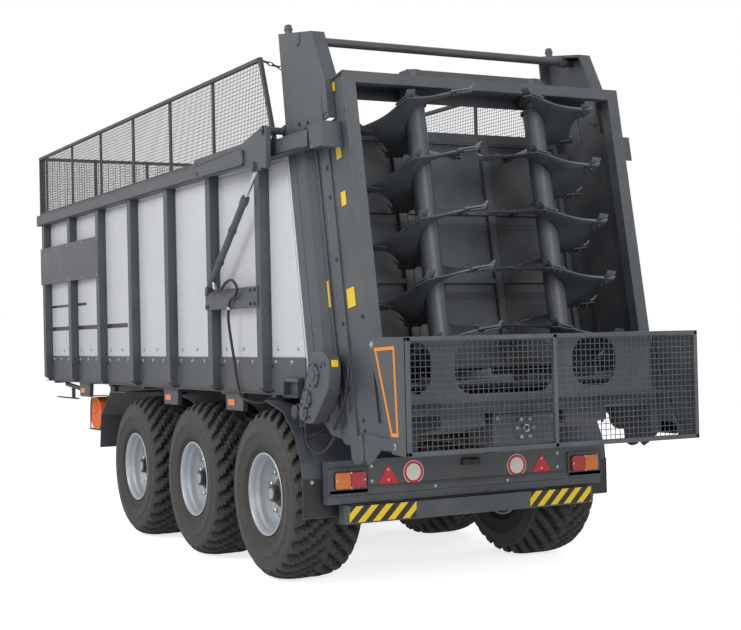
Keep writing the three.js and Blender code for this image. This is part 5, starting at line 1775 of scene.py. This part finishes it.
# ---- Screen chain ----
# A zinc plated long-link chain hangs between the rear corners of the side screens.
LINK_PITCH = 0.042
CHAIN_HALF = 1.190
CHAIN_SAG = 0.190
CHAIN_TOP = 3.735
CHAIN_X = 0.914
links = []
steps = int(2 * CHAIN_HALF / LINK_PITCH)
for i in range(steps):
    y = -CHAIN_HALF + (i + 0.5) * 2 * CHAIN_HALF / steps
    middle = at(CHAIN_X, y, CHAIN_TOP - CHAIN_SAG * (1 - (y / CHAIN_HALF) ** 2))
    along_chain = Vector((0, 1, 2 * CHAIN_SAG * y / CHAIN_HALF**2)).normalized()
    across_chain = Vector((1, 0, 0)) if i % 2 else Vector((1, 0, 0)).cross(along_chain)
    loop = []
    for k in range(13):
        a = 2 * math.pi * k / 12
        loop.append(middle + along_chain * 0.029 * math.cos(a) + across_chain * 0.012 * math.sin(a))
    links.append(loop)
chain = rods("screen_chain_links", links, 0.0042, DARK_STEEL, sides=6)
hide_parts("screen_chain")


# ---- Floor drive ----
# The scraper floor's gear case: a pressed steel case with a round top, lobed bearing covers with
# dark bolts, a recessed cover below, and a hydraulic motor with two hoses at its foot.
CASE = [
    (0.117, 1.540),
    (0.100, 1.580),
    (0.068, 1.612),
    (0.020, 1.634),
    (-0.050, 1.640),
    (-0.110, 1.634),
    (-0.160, 1.614),
    (-0.195, 1.580),
    (-0.208, 1.530),
    (-0.200, 1.450),
    (-0.181, 1.387),
    (-0.070, 1.280),
    (0.049, 1.163),
    (0.120, 1.152),
    (0.200, 1.165),
    (0.248, 1.200),
    (0.262, 1.250),
    (0.245, 1.309),
    (0.195, 1.360),
    (0.160, 1.410),
    (0.140, 1.470),
]
CASE_FACE = RAIL_Y
case = Shape()
case.prism([at(x, WALL_Y + 0.013, z) for x, z in CASE], (0, CASE_FACE - WALL_Y - 0.013, 0))
case_piece = case.piece("floor_drive_case", GREY_PAINT, bevel=0.006, smooth=40, segments=3)
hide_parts("floor_drive")


def lobed(centre, radius, lobes, depth=0.012):
    """A round bearing cover with bolt lobes round it, and the bolts' places."""
    outline, heads = [], []
    for i in range(72):
        a = 2 * math.pi * i / 72
        r = radius * (1 + 0.13 * max(0.0, math.cos(lobes * a)) ** 3)
        outline.append((centre[0] + r * math.cos(a), centre[1] + r * math.sin(a)))
    for i in range(lobes):
        a = 2 * math.pi * i / lobes
        heads.append(
            (
                at(
                    centre[0] + radius * math.cos(a), CASE_FACE + depth,
                    centre[1] + radius * math.sin(a)
                ),
                (0, 1, 0)
            )
        )
    return outline, heads


covers = Shape()
case_bolts = []
for centre, radius, lobes in (
    ((0.022, 1.478), 0.078, 6), ((0.130, 1.322), 0.060, 5), ((0.186, 1.226), 0.056, 5)
):
    outline, heads = lobed(centre, radius, lobes)
    covers.prism([at(x, CASE_FACE, z) for x, z in outline], (0, 0.012, 0))
    covers.turned(
        at(centre[0], CASE_FACE + 0.012, centre[1]), (0, 1, 0),
        [(0, 0), (radius * 0.55, 0), (radius * 0.5, 0.007), (0, 0.007)], 32
    )
    case_bolts += heads
covers.box(at(-0.150, CASE_FACE, 1.540), at(-0.128, CASE_FACE + 0.010, 1.562))
covers.piece("bearing_covers_floor_drive", GREY_PAINT, bevel=0.0025)
case_bolts += [(at(x, CASE_FACE, z), (0, 1, 0)) for x, z in ((-0.088, 1.535), (-0.105, 1.560), (0.10, 1.20))]
bolts("floor_drive_bolts", case_bolts, 0.0085, 0.007, material=DARK_STEEL)

slope = Vector((0.230, 0, -0.224)).normalized()
outward = Vector((-slope.z, 0, slope.x)) * -1
if outward.z > 0:
    outward = -outward
middle = at(-0.066, WALL_Y + 0.058, 1.275)
cover = Shape()
for depth, half_length, half_width, thick in ((0.0, 0.150, 0.044, 0.006),):
    corners = []
    for a, b in ((-1, -1), (1, -1), (1, 1), (-1, 1)):
        corners.append(middle + slope * half_length * a + Vector((0, half_width * b, 0)) + outward * depth)
    cover.prism(corners, outward * thick)
cover.piece("recessed_cover_floor_drive", DARK_PAINT, bevel=0.003)
frame_lip = Shape()
for b in (-1, 1):
    corners = [
        middle + slope * a + Vector((0, 0.044 * b + w, 0)) + outward * 0.004
        for a, w in ((-0.152, -0.003), (0.152, -0.003), (0.152, 0.003), (-0.152, 0.003))
    ]
    frame_lip.prism(corners, outward * 0.006)
frame_lip.piece("cover_lips_floor_drive", GREY_PAINT, bevel=0.001)

motor = Shape()
motor.turned(
    at(0.318, WALL_Y + 0.013, 1.226), (0, 1, 0),
    [(0, 0), (0.055, 0), (0.055, 0.070), (0.048, 0.078), (0.048, 0.098), (0.040, 0.104), (0, 0.104)], 40
)
motor.box(at(0.235, WALL_Y + 0.013, 1.190), at(0.300, WALL_Y + 0.060, 1.262))
for x in (0.283, 0.340):
    motor.rod(at(x, WALL_Y + 0.045, 1.190), at(x, WALL_Y + 0.045, 1.120), 0.015, 12)
    motor.turned(
        at(x, WALL_Y + 0.045, 1.140), (0, 0, -1), [(0, 0), (0.020, 0), (0.020, 0.020), (0, 0.020)], 6
    )
motor.piece("floor_drive_motor", DARK_STEEL, bevel=0.002)
drive_hoses = [
    [
        (0.283, 1.205, 1.125), (0.283, 1.205, 1.060), (0.262, 1.203, 1.010), (0.200, 1.198, 0.966),
        (0.112, 1.190, 0.950), (0.036, 1.170, 0.985), (0.012, 1.130, 1.050), (0.010, 1.080, 1.110)
    ],
    [
        (0.340, 1.205, 1.125), (0.338, 1.203, 1.075), (0.318, 1.195, 1.045), (0.280, 1.170, 1.050),
        (0.250, 1.120, 1.085), (0.240, 1.080, 1.120)
    ],
    [
        (-0.245, 1.150, 1.545), (-0.285, 1.160, 1.530), (-0.292, 1.165, 1.480), (-0.262, 1.165, 1.380),
        (-0.195, 1.160, 1.270), (-0.100, 1.155, 1.180), (-0.020, 1.140, 1.120), (0.000, 1.090, 1.100)
    ],
]
rods(
    "floor_drive_hoses", [[at(*p) for p in line] for line in drive_hoses], 0.0095, HOSE_RUBBER,
    sides=12, curved=True
)
STICKER_SPOT = [(-0.200, 1.585), (-0.207, 1.530)]
corners = [
    at(x, y, z)
    for (x, z), y in zip(
        (STICKER_SPOT[0], STICKER_SPOT[1], STICKER_SPOT[1], STICKER_SPOT[0]),
        (1.188, 1.188, 1.248, 1.248)
    )
]
blank_sticker("blank_sticker_floor_drive", corners, Vector((-0.002, 0, 0.0003)))
corners = [
    at(x, WALL_Y + 0.0125, z)
    for x, z in ((0.386, 1.343), (0.455, 1.343), (0.455, 1.417), (0.386, 1.417))
]
blank_sticker("blank_sticker_sill", corners, Vector((0, 0.0012, 0)))

# ---- Grab bracket ----
# A short tube handle between two cut plates, welded on the rear end of the left sill.
grab = Shape()
for x in (0.375, 0.600):
    grab.box(at(x, WALL_Y + 0.012, 1.322), at(x + 0.008, WALL_Y + 0.060, 1.452))
grab.box(at(0.375, WALL_Y + 0.012, 1.318), at(0.608, WALL_Y + 0.060, 1.326))
grab.rod(at(0.362, WALL_Y + 0.040, 1.436), at(0.618, WALL_Y + 0.040, 1.436), 0.017, 20)
grab.piece("grab_bracket", GREY_PAINT, bevel=0.002)

# ---- Side markers ----
# Folded boxes hang below the sill on both sides, each with an amber reflector screwed to its face.
for side_name, side in SIDES:
    boxes = Shape()
    reflectors = Shape()
    for x in (1.44, 2.85, 5.36):
        outline = [(x, 1.325), (x + 0.36, 1.325), (x + 0.345, 1.186), (x + 0.020, 1.186)]
        boxes.prism([at(a, side * (WALL_Y - 0.030), z) for a, z in outline], (0, side * 0.040, 0))
        reflectors.box(
            at(x + 0.168, side * (WALL_Y + 0.010), 1.222), at(x + 0.298, side * (WALL_Y + 0.016), 1.272)
        )
    boxes.piece(f"marker_boxes_{side_name}", GREY_PAINT, bevel=0.003)
    reflectors.piece(f"amber_reflectors_{side_name}", LENSES["amber"], bevel=0.002)
    rail = Shape()
    rail.rod(at(5.72, side * 1.15, 1.262), at(6.24, side * 1.15, 1.300), 0.022, 16)
    rail.box(at(5.90, side * 1.120, 1.150), at(6.60, side * 1.160, 1.162))
    rail.box(at(6.02, side * 1.125, 1.155), at(6.06, side * 1.155, 1.300))
    rail.piece(f"front_step_{side_name}", DARK_PAINT, bevel=0.002)

# ---- Name plate and stripes ----
# A grey painted sheet is riveted across the front posts and left blank. Two dark foil stripes
# run over the silver sheets below it.
for side_name, side in SIDES:
    plate = Shape()
    plate.box(at(4.80, side * (POST_Y + 0.0008), 2.36), at(6.86, side * (POST_Y + 0.004), 2.75))
    plate.piece(f"blank_name_plate_{side_name}", GREY_PAINT, bevel=0.001)
    stripes = Shape()
    for k, (rear, front) in enumerate(
        (post_x(k) + POST_HALF + 0.022, post_x(k + 1) - POST_HALF - 0.022) for k in range(POSTS - 1)
    ):
        for z0, z1, last in ((2.104, 2.131, 5.43), (1.861, 1.902, 4.15)):
            if front > last:
                stripes.box(
                    at(max(rear, last), side * (WALL_Y + 0.0060), z0),
                    at(front, side * (WALL_Y + 0.0066), z1)
                )
    stripes.piece(f"dark_foil_stripes_{side_name}", BLACK_FOIL)
    rivets = []
    for x in (4.83, 5.34, 5.84, 6.33, 6.83):
        rivets += [(at(x, side * (POST_Y + 0.004), z), (0, side, 0)) for z in (2.385, 2.725)]
    bolts(f"name_plate_rivets_{side_name}", rivets, 0.007, 0.003, 12)

# ---- Wheel chock ----
# A moulded orange plastic wedge in a bent wire holder, with ribs pressed into its sides.
CHOCK_ORANGE = painted(
    "orange_moulded_plastic", "#f26a1b", roughness=0.45, dust="#a0603a", dust_amount=0.2, peel=0.0008
)
chock = Shape()
CHOCK_LOW, CHOCK_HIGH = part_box("wheel_chock")
rim_points = [
    (5.430, 0.858),
    (5.610, 0.858),
    (5.665, 0.885),
    (5.705, 0.935),
    (5.735, 0.990),
    (5.740, 1.040),
    (5.728, 1.092),
    (5.690, 1.145),
    (5.630, 1.172),
    (5.560, 1.178),
    (5.480, 1.178),
    (5.400, 1.130),
    (5.360, 1.040),
    (5.380, 0.930),
]
chock.prism([at(x, CHOCK_LOW.y, z) for x, z in rim_points], (0, CHOCK_HIGH.y - CHOCK_LOW.y, 0))
for angle in (20, 60, 100, 140):
    a = math.radians(angle)
    foot = Vector((5.550, 0, 1.010))
    tip = foot + 0.14 * Vector((math.cos(a), 0, math.sin(a)))
    wide = 0.012 * Vector((-math.sin(a), 0, math.cos(a)))
    chock.prism(
        [at(p.x, CHOCK_HIGH.y, p.z) for p in (foot - wide, tip - wide, tip + wide, foot + wide)],
        (0, 0.005, 0)
    )
for z in (0.955, 1.035, 1.115):
    chock.box(at(5.700 if z != 1.035 else 5.735, 0.960, z - 0.006), at(5.745, 1.045, z + 0.006))
wedge_piece = chock.piece("ribbed_wheel_chock", CHOCK_ORANGE, bevel=0.008, segments=3)
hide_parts("wheel_chock")
strap = [
    (5.700, 1.066, 0.846),
    (5.690, 1.068, 1.040),
    (5.660, 1.070, 1.140),
    (5.600, 1.066, 1.186),
    (5.540, 1.020, 1.190),
    (5.500, 0.960, 1.190),
    (5.470, 0.936, 1.150),
    (5.460, 0.934, 1.000),
    (5.460, 0.934, 0.862),
]
rods("chock_wire_holder", [[at(*p) for p in strap]], 0.0055, DARK_STEEL, sides=8, curved=True)

# ---- Mudguards ----
# Folded sheet steel over the front and rear wheels; black rubber flaps hang from the rear ones.
for side_name, side in SIDES:
    flap = Shape()
    flap.box(at(0.2135, side * 0.742, 0.512), at(0.2215, side * 1.266, 0.770))
    flap.piece(f"rubber_flap_{side_name}", HOSE_RUBBER, bevel=0.002)
    screws = [(at(0.2135, side * y, 0.750), (-1, 0, 0)) for y in (0.80, 0.92, 1.08, 1.20)]
    bolts(f"flap_bolts_{side_name}", screws, 0.010, 0.006)


# ---- Running gear, drawbar and floor ----
# Rolled and cut steel parts under the hopper: the suspension and axles are dipped in dark paint, while
# the coupling ring, the drive shaft and the scraper chains wear bright and rust a little.
WORN_STEEL = painted(
    "worn_bare_steel", "#74716d", roughness=0.38, dust="#6b4d3a", dust_amount=0.45, peel=0.002
)
WORN_STEEL.node_tree.nodes["Principled BSDF"].inputs["Metallic"].default_value = 0.85
for node in ("coupling_head", "drive_shaft", "scraper_floor"):
    dress(node, WORN_STEEL)
done = {"coupling_head", "drive_shaft", "scraper_floor", "cylinder_rod_left", "cylinder_rod_right"}
done |= {"side_wall_left", "side_wall_right"}
for node in sorted(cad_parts):
    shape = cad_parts[node]
    if shape.hide_render or node in done:
        continue
    under = node.startswith(("axle", "suspension", "chassis"))
    dress(node, DARK_PAINT if under else GREY_PAINT)
